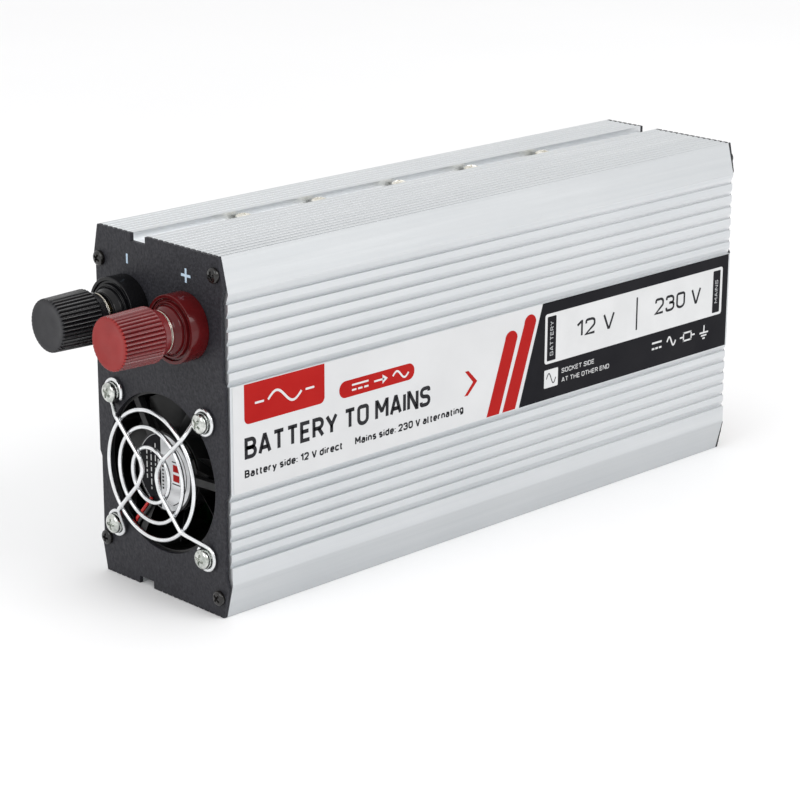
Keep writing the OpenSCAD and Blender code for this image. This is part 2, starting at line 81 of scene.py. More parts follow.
# ------------------------------------------------------------------ materials
class Mat:
    def __init__(self, name, metal=0.0, spec=0.5, ior=1.5, coat=0.0, coat_rough=0.1, sheen=0.0, trans=0.0, aniso=0.0):
        self.m = bpy.data.materials.new(name)
        self.m.use_nodes = True
        self.t = self.m.node_tree
        self.t.nodes.clear()
        out = self.t.nodes.new("ShaderNodeOutputMaterial")
        self.b = self.t.nodes.new("ShaderNodeBsdfPrincipled")
        self.t.links.new(self.b.outputs[0], out.inputs[0])
        i = self.b.inputs
        i["Metallic"].default_value = metal
        i["Specular IOR Level"].default_value = spec
        i["IOR"].default_value = ior
        i["Coat Weight"].default_value = coat
        i["Coat Roughness"].default_value = coat_rough
        i["Sheen Weight"].default_value = sheen
        i["Transmission Weight"].default_value = trans
        i["Anisotropic"].default_value = aniso
        self.co = self.t.nodes.new("ShaderNodeTexCoord").outputs["Object"]

    def node(self, kind, **props):
        n = self.t.nodes.new(kind)
        for k, v in props.items():
            setattr(n, k, v)
        return n

    def link(self, a, b):
        self.t.links.new(a, b)

    def place(self, stretch=(1, 1, 1), shift=(0, 0, 0)):
        n = self.node("ShaderNodeMapping")
        n.inputs["Scale"].default_value = stretch
        n.inputs["Location"].default_value = shift
        self.link(self.co, n.inputs["Vector"])
        return n.outputs[0]

    def noise(self, size, stretch=(1, 1, 1), detail=3.0, shift=(0, 0, 0), rough=0.55):
        n = self.node("ShaderNodeTexNoise")
        n.inputs["Scale"].default_value = 1000.0 / size
        n.inputs["Detail"].default_value = detail
        n.inputs["Roughness"].default_value = rough
        self.link(self.place(stretch, shift), n.inputs["Vector"])
        return n.outputs["Fac"]

    def cells(self, size, stretch=(1, 1, 1), feature="F1"):
        n = self.node("ShaderNodeTexVoronoi", feature=feature)
        n.inputs["Scale"].default_value = 1000.0 / size
        self.link(self.place(stretch), n.inputs["Vector"])
        return n.outputs["Distance"]

    def wave(self, pitch, axis="X", dist=0.0, shift=(0, 0, 0)):
        n = self.node("ShaderNodeTexWave", wave_type="BANDS", bands_direction=axis)
        n.inputs["Scale"].default_value = 1000.0 / pitch / 20.0 * 2 * pi
        n.inputs["Distortion"].default_value = dist
        self.link(self.place((1, 1, 1), shift), n.inputs["Vector"])
        return n.outputs["Fac"]

    def range(self, v, a, b, c=0.0, d=1.0, smooth=False):
        n = self.node("ShaderNodeMapRange", interpolation_type="SMOOTHSTEP" if smooth else "LINEAR")
        for k, x in zip(("From Min", "From Max", "To Min", "To Max"), (a, b, c, d)):
            n.inputs[k].default_value = x
        self.link(v, n.inputs["Value"])
        return n.outputs[0]

    def math(self, op, a, b):
        n = self.node("ShaderNodeMath", operation=op)
        for k, x in enumerate((a, b)):
            if isinstance(x, (int, float)):
                n.inputs[k].default_value = x
            else:
                self.link(x, n.inputs[k])
        return n.outputs[0]

    def mix(self, f, a, b):
        n = self.node("ShaderNodeMix", data_type="RGBA")
        self.link(f, n.inputs[0])
        for k, x in ((6, a), (7, b)):
            if isinstance(x, tuple):
                n.inputs[k].default_value = (*x, 1.0)
            else:
                self.link(x, n.inputs[k])
        return n.outputs[2]

    def color(self, v):
        self.link(v, self.b.inputs["Base Color"])
        return self

    def rough(self, v):
        self.link(v, self.b.inputs["Roughness"])
        return self

    def bump(self, *layers):
        last = None
        for h, dist in layers:
            n = self.node("ShaderNodeBump")
            n.inputs["Strength"].default_value = 1.0
            n.inputs["Distance"].default_value = dist * MM
            self.link(h, n.inputs["Height"])
            if last is not None:
                self.link(last, n.inputs["Normal"])
            last = n.outputs[0]
        self.link(last, self.b.inputs["Normal"])
        return self

    def axis(self, k):
        n = self.node("ShaderNodeSeparateXYZ")
        self.link(self.co, n.inputs[0])
        return n.outputs[k]


def simple(name, c0, c1, r0, r1, size=6.0, stretch=(1, 1, 1), fine=1.0, height=0.01, **kw):
    """Two-tone noise colour, uneven roughness and a fine bump."""
    m = Mat(name, **kw)
    a = m.range(m.noise(size, stretch), 0.32, 0.68)
    m.color(m.mix(a, c0, c1))
    m.rough(m.range(m.noise(size * 0.6, stretch, shift=(0.3, 0.7, 0.1)), 0.3, 0.7, r0, r1))
    m.bump((m.noise(fine, stretch, detail=4), height))
    return m


def g(v, k=1.0):
    return (v, v, v * k)


def aluminium(name, c0, c1, r0, r1, grooves=False):
    m = Mat(name, metal=1.0, aniso=0.0)
    streak = (0.012, 1, 1)
    broad = m.range(m.noise(2.2, streak, detail=5), 0.3, 0.7)
    fine = m.noise(0.35, (0.008, 1, 1), detail=3, shift=(0.1, 0.2, 0.3))
    cloud = m.range(m.noise(38, (0.6, 1, 1), detail=4), 0.3, 0.7)
    f = m.math("ADD", m.math("MULTIPLY", broad, 0.55), m.math("MULTIPLY", cloud, 0.45))
    col = m.mix(f, c0, c1)
    if grooves:      # painted shade: the lower chamfer and the top face are painted darker than the rest
        col = m.mix(m.range(m.axis(2), 0.0148, 0.0128), col, m.mix(f, tuple(v * 0.85 for v in c0), tuple(v * 0.85 for v in c1)))
        col = m.mix(m.range(m.axis(2), 2 * H2 - 0.0011, 2 * H2 - 0.0009), col, m.mix(f, tuple(v * 0.975 for v in c0), tuple(v * 0.975 for v in c1)))
    if grooves:
        # painted shade: the outer lands of the side ribs are painted a little darker
        rib_land_shade = m.math("MULTIPLY", m.range(m.math("ABSOLUTE", m.axis(1), 0.0), 0.0345, 0.0348), m.range(m.math("ABSOLUTE", m.math("SUBTRACT", m.axis(2), H2), 0.0), H2 - 0.0120, H2 - 0.0135))
        col = m.mix(rib_land_shade, col, m.mix(f, tuple(v * 0.95 for v in c0), tuple(v * 0.95 for v in c1)))
    if grooves:      # painted shade in the bottoms of the extruded grooves and in the deep corners under the ribs
        hgt = m.math("ABSOLUTE", m.math("SUBTRACT", m.axis(2), H2), 0.0)
        wid = m.math("ABSOLUTE", m.axis(1), 0.0)
        top = m.math("MULTIPLY", m.range(hgt, H2 - 0.00003, H2 - 0.00014), m.range(wid, 0.0325, 0.0324))
        top = m.math("MULTIPLY", top, m.range(m.math("ABSOLUTE", m.math("SUBTRACT", m.axis(1), 0.01007), 0.0), 0.0044, 0.0046))
        top = m.math("MULTIPLY", top, m.range(hgt, H2 - 0.0011, H2 - 0.0009))
        top = m.math("MULTIPLY", top, m.math("MULTIPLY", m.range(m.axis(0), -0.12, 0.12, 1.0, 0.30), m.range(m.axis(1), -0.028, 0.012, 1.0, 0.5)))
        # painted light: the floor of the screw channel is painted lighter
        channel_floor_light = m.math("MULTIPLY", m.range(m.math("ABSOLUTE", m.math("SUBTRACT", m.axis(1), 0.01007), 0.0), 0.0041, 0.0039), m.range(hgt, H2 - 0.0020, H2 - 0.0024))
        channel_floor_light = m.math("MULTIPLY", channel_floor_light, m.range(hgt, H2 - 0.0036, H2 - 0.0032))
        col = m.mix(m.math("MULTIPLY", channel_floor_light, 0.85), col, (0.90, 0.91, 0.92))
        # painted shade along the deepest corner under each rib
        rib_crease_shade = m.math("MULTIPLY", m.range(wid, 0.03545, 0.03505), m.range(wid, 0.0345, 0.0348))
        rib_crease_shade = m.math("MULTIPLY", rib_crease_shade, m.range(hgt, H2 - 0.0135, H2 - 0.0145))
        shade = m.math("MULTIPLY", m.math("MAXIMUM", top, m.math("MULTIPLY", rib_crease_shade, 0.12)), m.range(m.noise(9, (0.05, 1, 1)), 0.2, 0.8, 0.6, 0.95))
        col = m.mix(shade, col, (0.11, 0.12, 0.13))
        # painted light: a thin lighter line along the outer step of each rib, stronger towards the outlet end
        rib_step_light = m.math("MULTIPLY", m.range(wid, 0.0360, 0.0354), m.range(wid, 0.0345, 0.0348))
        rib_step_light = m.math("MULTIPLY", rib_step_light, m.range(hgt, H2 - 0.0120, H2 - 0.0135))
        col = m.mix(m.math("MULTIPLY", rib_step_light, m.range(m.axis(0), -0.09, 0.06, 0.0, 0.62)), col, (0.80, 0.81, 0.82))
    m.color(col)
    speck = m.noise(0.22, (0.25, 1, 1), detail=2)
    m.rough(m.range(m.math("ADD", m.math("MULTIPLY", fine, 0.6), m.math("MULTIPLY", speck, 0.4)), 0.35, 0.65, r0, r1))
    m.bump((fine, 0.006), (speck, 0.004))
    return m


H2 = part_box("front_shell")[1].z / 2
alu = aluminium("anodised_extrusion", (0.635, 0.658, 0.676), (0.715, 0.732, 0.745), 0.33, 0.46, grooves=True)
bar_alu = aluminium("mill_bar", (0.62, 0.63, 0.64), (0.72, 0.72, 0.73), 0.3, 0.42)

plate = Mat("textured_black_paint", spec=0.25)
_g1 = plate.noise(0.9, detail=2.5)
_g2 = plate.cells(1.25, feature="SMOOTH_F1")
_cl = plate.range(plate.noise(26, detail=4), 0.3, 0.7)
_sp = plate.range(plate.noise(0.8, detail=2, shift=(0.2, 0.5, 0.4)), 0.35, 0.65)
plate.color(plate.mix(_sp, plate.mix(_cl, (0.0125, 0.0125, 0.0160), (0.0165, 0.0165, 0.0205)), (0.028, 0.028, 0.034)))
plate.rough(plate.range(plate.noise(1.6, detail=3), 0.3, 0.7, 0.40, 0.60))
plate.bump((_g2, 0.11), (_g1, 0.12))

red_pl = simple("red_plastic", (0.135, 0.010, 0.012), (0.18, 0.015, 0.017), 0.20, 0.32, size=14, fine=0.5, height=0.005, spec=0.8)
# painted shade: the red and black collars are darker copies of the knob plastics
shaded_red_collar = simple("red_plastic_collar", (0.066, 0.0040, 0.0048), (0.098, 0.0060, 0.0070), 0.11, 0.19, size=14, fine=0.5, height=0.005, spec=0.32)
shaded_black_collar = simple("black_plastic_collar", (0.003, 0.003, 0.0035), (0.006, 0.006, 0.007), 0.14, 0.26, size=14, fine=0.5, height=0.005, spec=0.26)
# painted light: the red knob face is a lighter copy of the red knob plastic; its matt finish is real
lit_red_face = simple("red_plastic_face", (0.225, 0.010, 0.009), (0.275, 0.016, 0.014), 0.40, 0.52, size=9, fine=0.45, height=0.014, spec=0.36)
black_pl = simple("black_plastic", (0.004, 0.004, 0.005), (0.008, 0.008, 0.0095), 0.20, 0.32, size=14, fine=0.5, height=0.005, spec=0.72)
# painted light: the black knob face is a lighter copy of the black knob plastic; its matt finish is real
lit_black_face = simple("black_plastic_face", (0.010, 0.010, 0.0125), (0.018, 0.018, 0.021), 0.38, 0.5, size=9, fine=0.45, height=0.014, spec=0.38)
fan_pl = simple("fan_plastic", (0.006, 0.006, 0.0065), (0.012, 0.012, 0.012), 0.3, 0.48, size=9, fine=0.6, height=0.008, spec=0.4)
switch_pl = simple("switch_plastic", (0.012, 0.012, 0.012), (0.02, 0.02, 0.02), 0.34, 0.5, size=6, fine=0.5, height=0.012)
rocker_pl = simple("rocker_plastic", (0.36, 0.010, 0.009), (0.44, 0.018, 0.015), 0.12, 0.20, size=8, fine=0.6, height=0.003, coat=0.3)
white_pl = simple("outlet_plastic", (0.74, 0.735, 0.71), (0.80, 0.795, 0.775), 0.28, 0.42, size=18, fine=0.7, height=0.006)
chrome = simple("chrome_wire", (0.70, 0.715, 0.73), (0.86, 0.87, 0.88), 0.12, 0.24, size=5, fine=0.9, height=0.008, metal=1.0)
zinc = simple("bright_zinc", (0.36, 0.39, 0.36), (0.80, 0.81, 0.78), 0.10, 0.24, size=2.2, fine=0.5, height=0.008, metal=1.0)
passivate = simple("passivated_zinc", (0.58, 0.55, 0.46), (0.95, 0.94, 0.90), 0.10, 0.22, size=2.6, fine=0.5, height=0.008, metal=1.0)
oxide = simple("black_oxide", (0.003, 0.003, 0.003), (0.012, 0.010, 0.009), 0.10, 0.24, size=1.6, fine=0.4, height=0.010, spec=0.55)
brass = simple("nickel_brass", (0.60, 0.47, 0.22), (0.74, 0.60, 0.33), 0.2, 0.36, size=4, fine=0.5, height=0.008, metal=1.0)
ring_metal = simple("bright_ring", (0.74, 0.70, 0.60), (0.90, 0.87, 0.80), 0.14, 0.26, size=3, fine=0.5, height=0.006, metal=1.0)
foil = simple("silver_foil", (0.60, 0.61, 0.62), (0.74, 0.75, 0.76), 0.26, 0.42, size=5, stretch=(1, 0.1, 1), fine=0.35, height=0.004, metal=0.85)
vinyl = simple("label_vinyl", (0.585, 0.590, 0.597), (0.62, 0.625, 0.632), 0.36, 0.48, size=30, fine=1.3, height=0.004, spec=0.25)
ink_black = simple("ink_black", (0.0055, 0.0055, 0.0080), (0.0095, 0.0095, 0.0120), 0.34, 0.46, size=22, fine=1.2, height=0.004, spec=0.07)
ink_red = simple("ink_red", (0.355, 0.0075, 0.0065), (0.395, 0.012, 0.010), 0.34, 0.46, size=22, fine=1.2, height=0.004, spec=0.07)
ink_white = simple("ink_white", (0.60, 0.605, 0.61), (0.64, 0.645, 0.65), 0.36, 0.46, size=14, fine=1.2, height=0.003, spec=0.2)
ink_grey = simple("ink_grey", (0.40, 0.41, 0.42), (0.48, 0.49, 0.5), 0.36, 0.46, size=14, fine=1.2, height=0.003, spec=0.2)
ink_text = simple("ink_text", (0.010, 0.010, 0.013), (0.018, 0.018, 0.021), 0.34, 0.44, size=14, fine=1.2, height=0.003, spec=0.14)
mark = simple("printed_mark", (0.42, 0.56, 0.70), (0.55, 0.68, 0.80), 0.4, 0.55, size=2, fine=0.8, height=0.03)
red_ins = simple("red_insulation", (0.50, 0.012, 0.012), (0.60, 0.025, 0.02), 0.3, 0.44, size=5, fine=0.9, height=0.02)
black_ins = simple("black_insulation", (0.010, 0.010, 0.010), (0.018, 0.018, 0.018), 0.3, 0.46, size=5, fine=0.9, height=0.02)
brown_ins = simple("brown_insulation", (0.10, 0.040, 0.018), (0.14, 0.06, 0.026), 0.3, 0.46, size=5, fine=0.9, height=0.02)
blue_ins = simple("blue_insulation", (0.02, 0.09, 0.36), (0.03, 0.13, 0.46), 0.3, 0.46, size=5, fine=0.9, height=0.02)
tin = simple("tinned_copper", (0.66, 0.66, 0.64), (0.78, 0.78, 0.77), 0.25, 0.4, size=2, fine=0.4, height=0.012, metal=1.0)
epoxy = simple("moulded_epoxy", (0.014, 0.014, 0.016), (0.026, 0.026, 0.028), 0.5, 0.68, size=4, fine=0.35, height=0.02)
ferrite = simple("ferrite", (0.035, 0.035, 0.037), (0.06, 0.06, 0.06), 0.45, 0.7, size=2.5, fine=0.3, height=0.03)
pads = simple("silicone_pad", (0.20, 0.25, 0.36), (0.27, 0.32, 0.44), 0.6, 0.78, size=3, fine=0.5, height=0.03)
core_pow = simple("painted_powder_core", (0.60, 0.56, 0.10), (0.70, 0.65, 0.15), 0.32, 0.5, size=4, fine=0.6, height=0.03)
fuse_pl = simple("fuse_plastic", (0.02, 0.09, 0.42), (0.03, 0.13, 0.55), 0.16, 0.28, size=5, fine=0.8, height=0.004, coat=0.2)
cores = simple("moulding_black", (0.012, 0.012, 0.012), (0.02, 0.02, 0.02), 0.4, 0.55, size=4, fine=0.5, height=0.02)

gy = Mat("green_yellow_insulation")
gy.color(gy.mix(gy.range(gy.wave(9.0, "Z", 1.5), 0.45, 0.55), (0.04, 0.28, 0.05), (0.66, 0.58, 0.05)))
gy.rough(gy.range(gy.noise(2.0), 0.3, 0.7, 0.3, 0.46))
gy.bump((gy.noise(0.9), 0.02))

copper = Mat("enamelled_copper", metal=1.0)
_w = copper.wave(0.9, "X", 0.6)
copper.color(copper.mix(_w, (0.36, 0.12, 0.045), (0.72, 0.33, 0.15)))
copper.rough(copper.range(copper.noise(1.5), 0.3, 0.7, 0.2, 0.34))
copper.bump((_w, 0.12), (copper.noise(0.4), 0.01))

tape = Mat("winding_tape")
_w = tape.wave(9.5, "Z", 0.35)
tape.color(tape.mix(tape.range(_w, 0.02, 0.16), (0.44, 0.28, 0.05), (0.74, 0.54, 0.10)))
tape.rough(tape.range(tape.noise(3), 0.3, 0.7, 0.24, 0.4))
tape.bump((tape.range(_w, 0.0, 0.2), 0.08), (tape.noise(1.2), 0.02))

sleeve = Mat("capacitor_sleeve", coat=0.25, coat_rough=0.2)
_s = sleeve.range(sleeve.wave(16.0, "Z", 0.0), 0.86, 0.9)
_top = sleeve.math("MAXIMUM", sleeve.range(sleeve.axis(1), -0.0134, -0.0138), sleeve.math("MULTIPLY", sleeve.range(sleeve.axis(0), -0.05, -0.051), sleeve.range(sleeve.axis(1), -0.0094, -0.0098)))
sleeve.color(sleeve.mix(_top, sleeve.mix(_s, (0.012, 0.014, 0.05), (0.5, 0.5, 0.52)), (0.60, 0.61, 0.62)))
sleeve.rough(sleeve.range(sleeve.noise(3), 0.3, 0.7, 0.22, 0.36))
sleeve.bump((sleeve.noise(1.4), 0.02))

pcb = Mat("solder_mask", coat=0.35, coat_rough=0.15)
_tr = pcb.math("MAXIMUM", pcb.range(pcb.wave(5.0, "X", 2.2), 0.72, 0.76), pcb.range(pcb.wave(6.4, "Z", 2.6, (0.01, 0, 0.004)), 0.76, 0.8))
_pad = pcb.range(pcb.cells(3.4), 0.14, 0.11)
pcb.color(pcb.mix(_pad, pcb.mix(_tr, (0.010, 0.10, 0.035), (0.022, 0.17, 0.06)), (0.62, 0.6, 0.55)))
pcb.rough(pcb.range(pcb.noise(2), 0.3, 0.7, 0.24, 0.38))
pcb.bump((_tr, 0.035), (_pad, 0.05), (pcb.noise(0.7), 0.01))

lamp_g = simple("lamp_green", (0.02, 0.36, 0.08), (0.04, 0.50, 0.12), 0.08, 0.16, size=2, fine=0.5, height=0.004, coat=0.6, trans=0.25)
lamp_r = simple("lamp_red", (0.50, 0.012, 0.012), (0.64, 0.03, 0.025), 0.08, 0.16, size=2, fine=0.5, height=0.004, coat=0.6, trans=0.25)


# ------------------------------------------------------------------ mesh helpers (all lengths in mm)
def finish_mesh(name, verts, faces, body, mat, sharp=32.0, recalc=True, mats=None, face_mat=None, replaces=()):
    me = bpy.data.meshes.new(name)
    me.from_pydata([(v[0] * MM, v[1] * MM, v[2] * MM) for v in verts], [], faces)
    if face_mat is not None:
        me.polygons.foreach_set("material_index", face_mat)
    me.validate()
    if recalc:
        bm = bmesh.new()
        bm.from_mesh(me)
        bmesh.ops.recalc_face_normals(bm, faces=bm.faces)
        bm.to_mesh(me)
        bm.free()
    me.polygons.foreach_set("use_smooth", [True] * len(me.polygons))
    if sharp is not None:
        me.set_sharp_from_angle(angle=rad(sharp))
    for m in (mats or [mat]):
        me.materials.append(m.m)
    o = bpy.data.objects.new(name, me)
    SC.collection.objects.link(o)
    if replaces:
        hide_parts(*replaces)
    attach(o, body)
    return o


def arc_corner(a, b, c, r, seg):
    """Rounds corner b of a 2D or 3D path with about radius r."""
    a, b, c = Vector(a), Vector(b), Vector(c)
    u, v = a - b, c - b
    lu, lv = u.length, v.length
    if lu < 1e-9 or lv < 1e-9:
        return [b]
    u, v = u / lu, v / lv
    th = math.acos(max(-1, min(1, u.dot(v))))
    if th > pi - 0.02 or r <= 0:
        return [b]
    d = min(r / math.tan(th / 2), 0.48 * lu, 0.48 * lv)
    rr = d * math.tan(th / 2)
    bis = (u + v).normalized()
    cen = b + bis * (rr / sin(th / 2))
    p, q = b + u * d, b + v * d
    e1 = (p - cen).normalized()
    tot = pi - th
    perp = (q - cen) - e1 * (q - cen).dot(e1)
    e2 = perp.normalized()
    return [cen + (e1 * cos(tot * i / seg) + e2 * sin(tot * i / seg)) * rr for i in range(seg + 1)]


def rounded(pts, r, seg=4, closed=False):
    """The path with its corners rounded; r is one radius or one for each point."""
    n = len(pts)
    rs = r if isinstance(r, (list, tuple)) else [r] * n
    out = []
    for i in range(n):
        if not closed and i in (0, n - 1):
            out.append(Vector(pts[i]))
        else:
            out += arc_corner(pts[i - 1], pts[i], pts[(i + 1) % n], rs[i], seg)
    return out


def revolve(prof, n, place, mod=None, closed=False):
    """prof holds (along, radius); place(along, radius, angle) gives a point."""
    verts, rings = [], []
    for a, r in prof:
        if r < 1e-6:
            rings.append([len(verts)])
            verts.append(place(a, 0, 0))
        else:
            s = len(verts)
            for k in range(n):
                ph = 2 * pi * k / n
                aa, rr = mod(a, r, ph) if mod else (a, r)
                verts.append(place(aa, rr, ph))
            rings.append(list(range(s, s + n)))
    faces = []
    m = len(rings)
    for i in range(m if closed else m - 1):
        p, q = rings[i], rings[(i + 1) % m]
        for k in range(n):
            k2 = (k + 1) % n
            if len(p) == 1 and len(q) == 1:
                continue
            if len(p) == 1:
                faces.append((p[0], q[k], q[k2]))
            elif len(q) == 1:
                faces.append((p[k], q[0], p[k2]))
            else:
                faces.append((p[k], q[k], q[k2], p[k2]))
    return verts, faces


def on_x(y, z):
    return lambda a, r, ph: (a, y + r * cos(ph), z + r * sin(ph))


def merge(parts):
    verts, faces = [], []
    for v, f in parts:
        o = len(verts)
        verts += [tuple(p) for p in v]
        faces += [tuple(i + o for i in q) for q in f]
    return verts, faces


def sweep(pts, r, sides=16, closed=False, radius=None):
    """Tube along points with parallel-carried rings."""
    pts = [Vector(p) for p in pts]
    n = len(pts)
    tang = []
    for i in range(n):
        a = pts[i - 1] if (closed or i > 0) else pts[i]
        b = pts[(i + 1) % n] if (closed or i < n - 1) else pts[i]
        tang.append((b - a).normalized())
    ref = Vector((0, 0, 1)) if abs(tang[0].z) < 0.9 else Vector((1, 0, 0))
    nrm = (ref - tang[0] * ref.dot(tang[0])).normalized()
    norms = [nrm]
    for i in range(1, n):
        nrm = (nrm - tang[i] * nrm.dot(tang[i])).normalized()
        norms.append(nrm)
    verts, faces = [], []
    for i in range(n):
        bi = tang[i].cross(norms[i])
        rr = radius(i) if radius else r
        for k in range(sides):
            ph = 2 * pi * k / sides
            verts.append(pts[i] + (norms[i] * cos(ph) + bi * sin(ph)) * rr)
    for i in range(n if closed else n - 1):
        j = (i + 1) % n
        for k in range(sides):
            k2 = (k + 1) % sides
            faces.append((i * sides + k, i * sides + k2, j * sides + k2, j * sides + k))
    if not closed:
        for end, s in ((0, -1), (n - 1, 1)):
            # rounded end: one smaller ring pushed out, then a point
            base = [end * sides + k for k in range(sides)]
            o = len(verts)
            bi = tang[end].cross(norms[end])
            rr = radius(end) if radius else r
            for k in range(sides):
                ph = 2 * pi * k / sides
                verts.append(pts[end] + tang[end] * (s * rr * 0.25) + (norms[end] * cos(ph) + bi * sin(ph)) * rr * 0.75)
            verts.append(pts[end] + tang[end] * (s * rr * 0.33))
            for k in range(sides):
                k2 = (k + 1) % sides
                faces.append((base[k], base[k2], o + k2, o + k))
                faces.append((o + k, o + k2, o + sides))
    return verts, faces


def resample(pts, step):
    out = [Vector(pts[0])]
    for a, b in zip(pts, pts[1:]):
        a, b = Vector(a), Vector(b)
        k = max(1, int((b - a).length / step))
        out += [a.lerp(b, (i + 1) / k) for i in range(k)]
    return out


def prism(poly, y0, y1):
    """Flat printed or cut shape in the X-Z plane, between y0 (front) and y1."""
    n = len(poly)
    verts = [(p[0], y0, p[1]) for p in poly] + [(p[0], y1, p[1]) for p in poly]
    faces = [tuple(range(n)), tuple(range(2 * n - 1, n - 1, -1))]
    faces += [(i, (i + 1) % n, (i + 1) % n + n, i + n) for i in range(n)]
    return verts, faces


def stroke(pts, w):
    """Outline of a line of width w along 2D points."""
    pts = [Vector((p[0], p[1])) for p in pts]
    l, r = [], []
    for i, p in enumerate(pts):
        a = pts[max(i - 1, 0)]
        b = pts[min(i + 1, len(pts) - 1)]
        t = (b - a).normalized()
        nn = Vector((-t.y, t.x)) * w / 2
        l.append(p + nn)
        r.append(p - nn)
    return l + r[::-1]


def rect(x0, x1, z0, z1, r=0.0, seg=5):
    p = [(x0, z0), (x1, z0), (x1, z1), (x0, z1)]
    return [tuple(v) for v in rounded(p, r, seg, closed=True)] if r else p


def soften(names, width, seg=2, angle=28.0, mat=None, flat=True):
    """Rounds the hard edges of a carried-over node; its own vertices stay as they are."""
    for n in names if isinstance(names, (list, tuple)) else [names]:
        o = NODES[n]
        w = o.modifiers.new("weld", "WELD")
        w.merge_threshold = 0.000002
        if flat:
            d = o.modifiers.new("flat", "DECIMATE")
            d.decimate_type = "DISSOLVE"
            d.angle_limit = rad(0.4)
        b = o.modifiers.new("edge", "BEVEL")
        b.width = width * MM
        b.segments = seg
        b.limit_method = "ANGLE"
        b.angle_limit = rad(angle)
        b.use_clamp_overlap = True
        b.harden_normals = False
        b.miter_outer = "MITER_ARC"
        if mat:
            paint(n, mat)


def paint(name, mat):
    for n in name if isinstance(name, (list, tuple)) else [name]:
        o = NODES[n]
        if not o.material_slots:
            o.data.materials.append(mat.m)
        for s in o.material_slots:
            s.material = mat.m


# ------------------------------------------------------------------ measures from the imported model
plate_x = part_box("dc_end_plate")[0].x / MM          # outer face of the battery-end plate
end_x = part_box("ac_end_plate")[1].x / MM            # outer face of the outlet-end plate
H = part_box("front_shell")[1].z / MM
lo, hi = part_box("fan_frame")
fan_y, fan_z, fx0, fx1 = (lo.y + hi.y) / 2 / MM, (lo.z + hi.z) / 2 / MM, lo.x / MM, hi.x / MM
lo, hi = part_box("red_collar")
red_y, term_z = (lo.y + hi.y) / 2 / MM, (lo.z + hi.z) / 2 / MM
lo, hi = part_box("black_collar")
black_y = (lo.y + hi.y) / 2 / MM
red_front, black_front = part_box("red_knob")[0].x / MM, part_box("black_knob")[0].x / MM

# ------------------------------------------------------------------ case
soften(["front_shell", "back_shell"], 0.16, 2, 24, alu)
soften(["dc_end_plate", "ac_end_plate"], 0.14, 2, 30, plate)


# ------------------------------------------------------------------ screws
def head(R, h, wing, depth, dome=0.55):
    """Pan head with a cross recess; along 0 is the seat and along h the top."""
    n = 96
    prof = [(0.0, 0.0), (0.0, R * 0.55), (0.0, R - 0.12), (0.05, R - 0.03), (0.16, R)]
    side = h * (1 - dome)
    prof += [(side * 0.6, R), (side, R - 0.02)]
    steps = 40
    for i in range(1, steps + 1):
        t = i / steps
        r = R * (1 - t)
        q = 1 - (r / R) ** 2
        prof.append((side + (h - side) * math.sqrt(max(q, 0)) ** 0.9, r if i < steps else 0.0))
    w = wing * 0.24

    def cut(u, v):
        s = min(max(abs(u) - w, abs(v) - wing), max(abs(v) - w, abs(u) - wing))
        core = math.hypot(u, v) - wing * 0.42
        s = min(s, core)
        return depth * max(0.0, min(1.0, (0.06 - s) / 0.22)) * (1 - 0.25 * min(1, math.hypot(u, v) / wing))

    def mod(a, r, ph):
        if a < side:
            return a, r
        return a - cut(r * cos(ph + pi / 4), r * sin(ph + pi / 4)), r
    return prof, n, mod


def screw(origin, axis, R, h, wing, depth, shank_r, shank_l, turn=0.0):
    """Head points along axis from origin; the shank goes the other way."""
    d = Vector(axis)
    ref = Vector((0, 0, 1)) if abs(d.z) < 0.9 else Vector((0, 1, 0))
    e1 = (ref - d * ref.dot(d)).normalized()
    e2 = d.cross(e1)
    o = Vector(origin)

    def place(a, r, ph):
        ph += turn
        return o + d * a + (e1 * cos(ph) + e2 * sin(ph)) * r
    prof, n, mod = head(R, h, wing, depth)
    hv = revolve(prof, n, place, mod)
    pr = [(-shank_l, 0.0), (-shank_l, shank_r * 0.6)]
    k = int((shank_l - 0.6) / 0.35)
    for i in range(k):
        pr.append((-shank_l + 0.3 + i * 0.35, shank_r if i % 2 else shank_r * 0.86))
    pr += [(-0.2, shank_r), (0.05, shank_r), (0.05, 0.0)]
    return merge([hv, revolve(pr, 24, place)])


plate_ps = [(31.6, H - 12.1), (-31.1, H - 6.6), (31.8, 13.2), (-31.0, 7.2)]
v, f = merge([screw((plate_x, y, z), (-1, 0, 0), 2.75, 1.9, 1.55, 0.95, 1.45, 9, t) for (y, z), t in zip(plate_ps, (0.3, 1.0, 0.7, 0.1))])
finish_mesh("plate_screws_battery_end", v, f, CASE, oxide, 30, replaces=["dc_plate_screws"])
v, f = merge([screw((end_x, y, z), (1, 0, 0), 2.75, 1.9, 1.55, 0.95, 1.45, 9, t) for (y, z), t in zip(plate_ps, (0.9, 0.2, 0.5, 1.2))])
finish_mesh("plate_screws_outlet_end", v, f, CASE, oxide, 30, replaces=["ac_plate_screws"])
case_x = [d - 88.2 for d in (0, 37, 78.5, 118, 159)]
v, f = merge([screw((x, 10.07, H - 2.8), (0, 0, 1), 3.2, 2.6, 1.8, 1.2, 1.45, 9, t) for x, t in zip(case_x, (0.2, 0.9, 0.5, 1.3, 0.7))])
finish_mesh("channel_screws_top", v, f, CASE, passivate, 30, replaces=["top_case_screws"])
v, f = merge([screw((x, 10.07, 2.8), (0, 0, -1), 3.0, 2.58, 1.7, 1.1, 1.45, 9, t) for x, t in zip(case_x, (0.6, 0.1, 1.1, 0.4, 0.0))])
finish_mesh("channel_screws_bottom", v, f, CASE, passivate, 30, replaces=["bottom_case_screws"])
guard_wire = 0.8
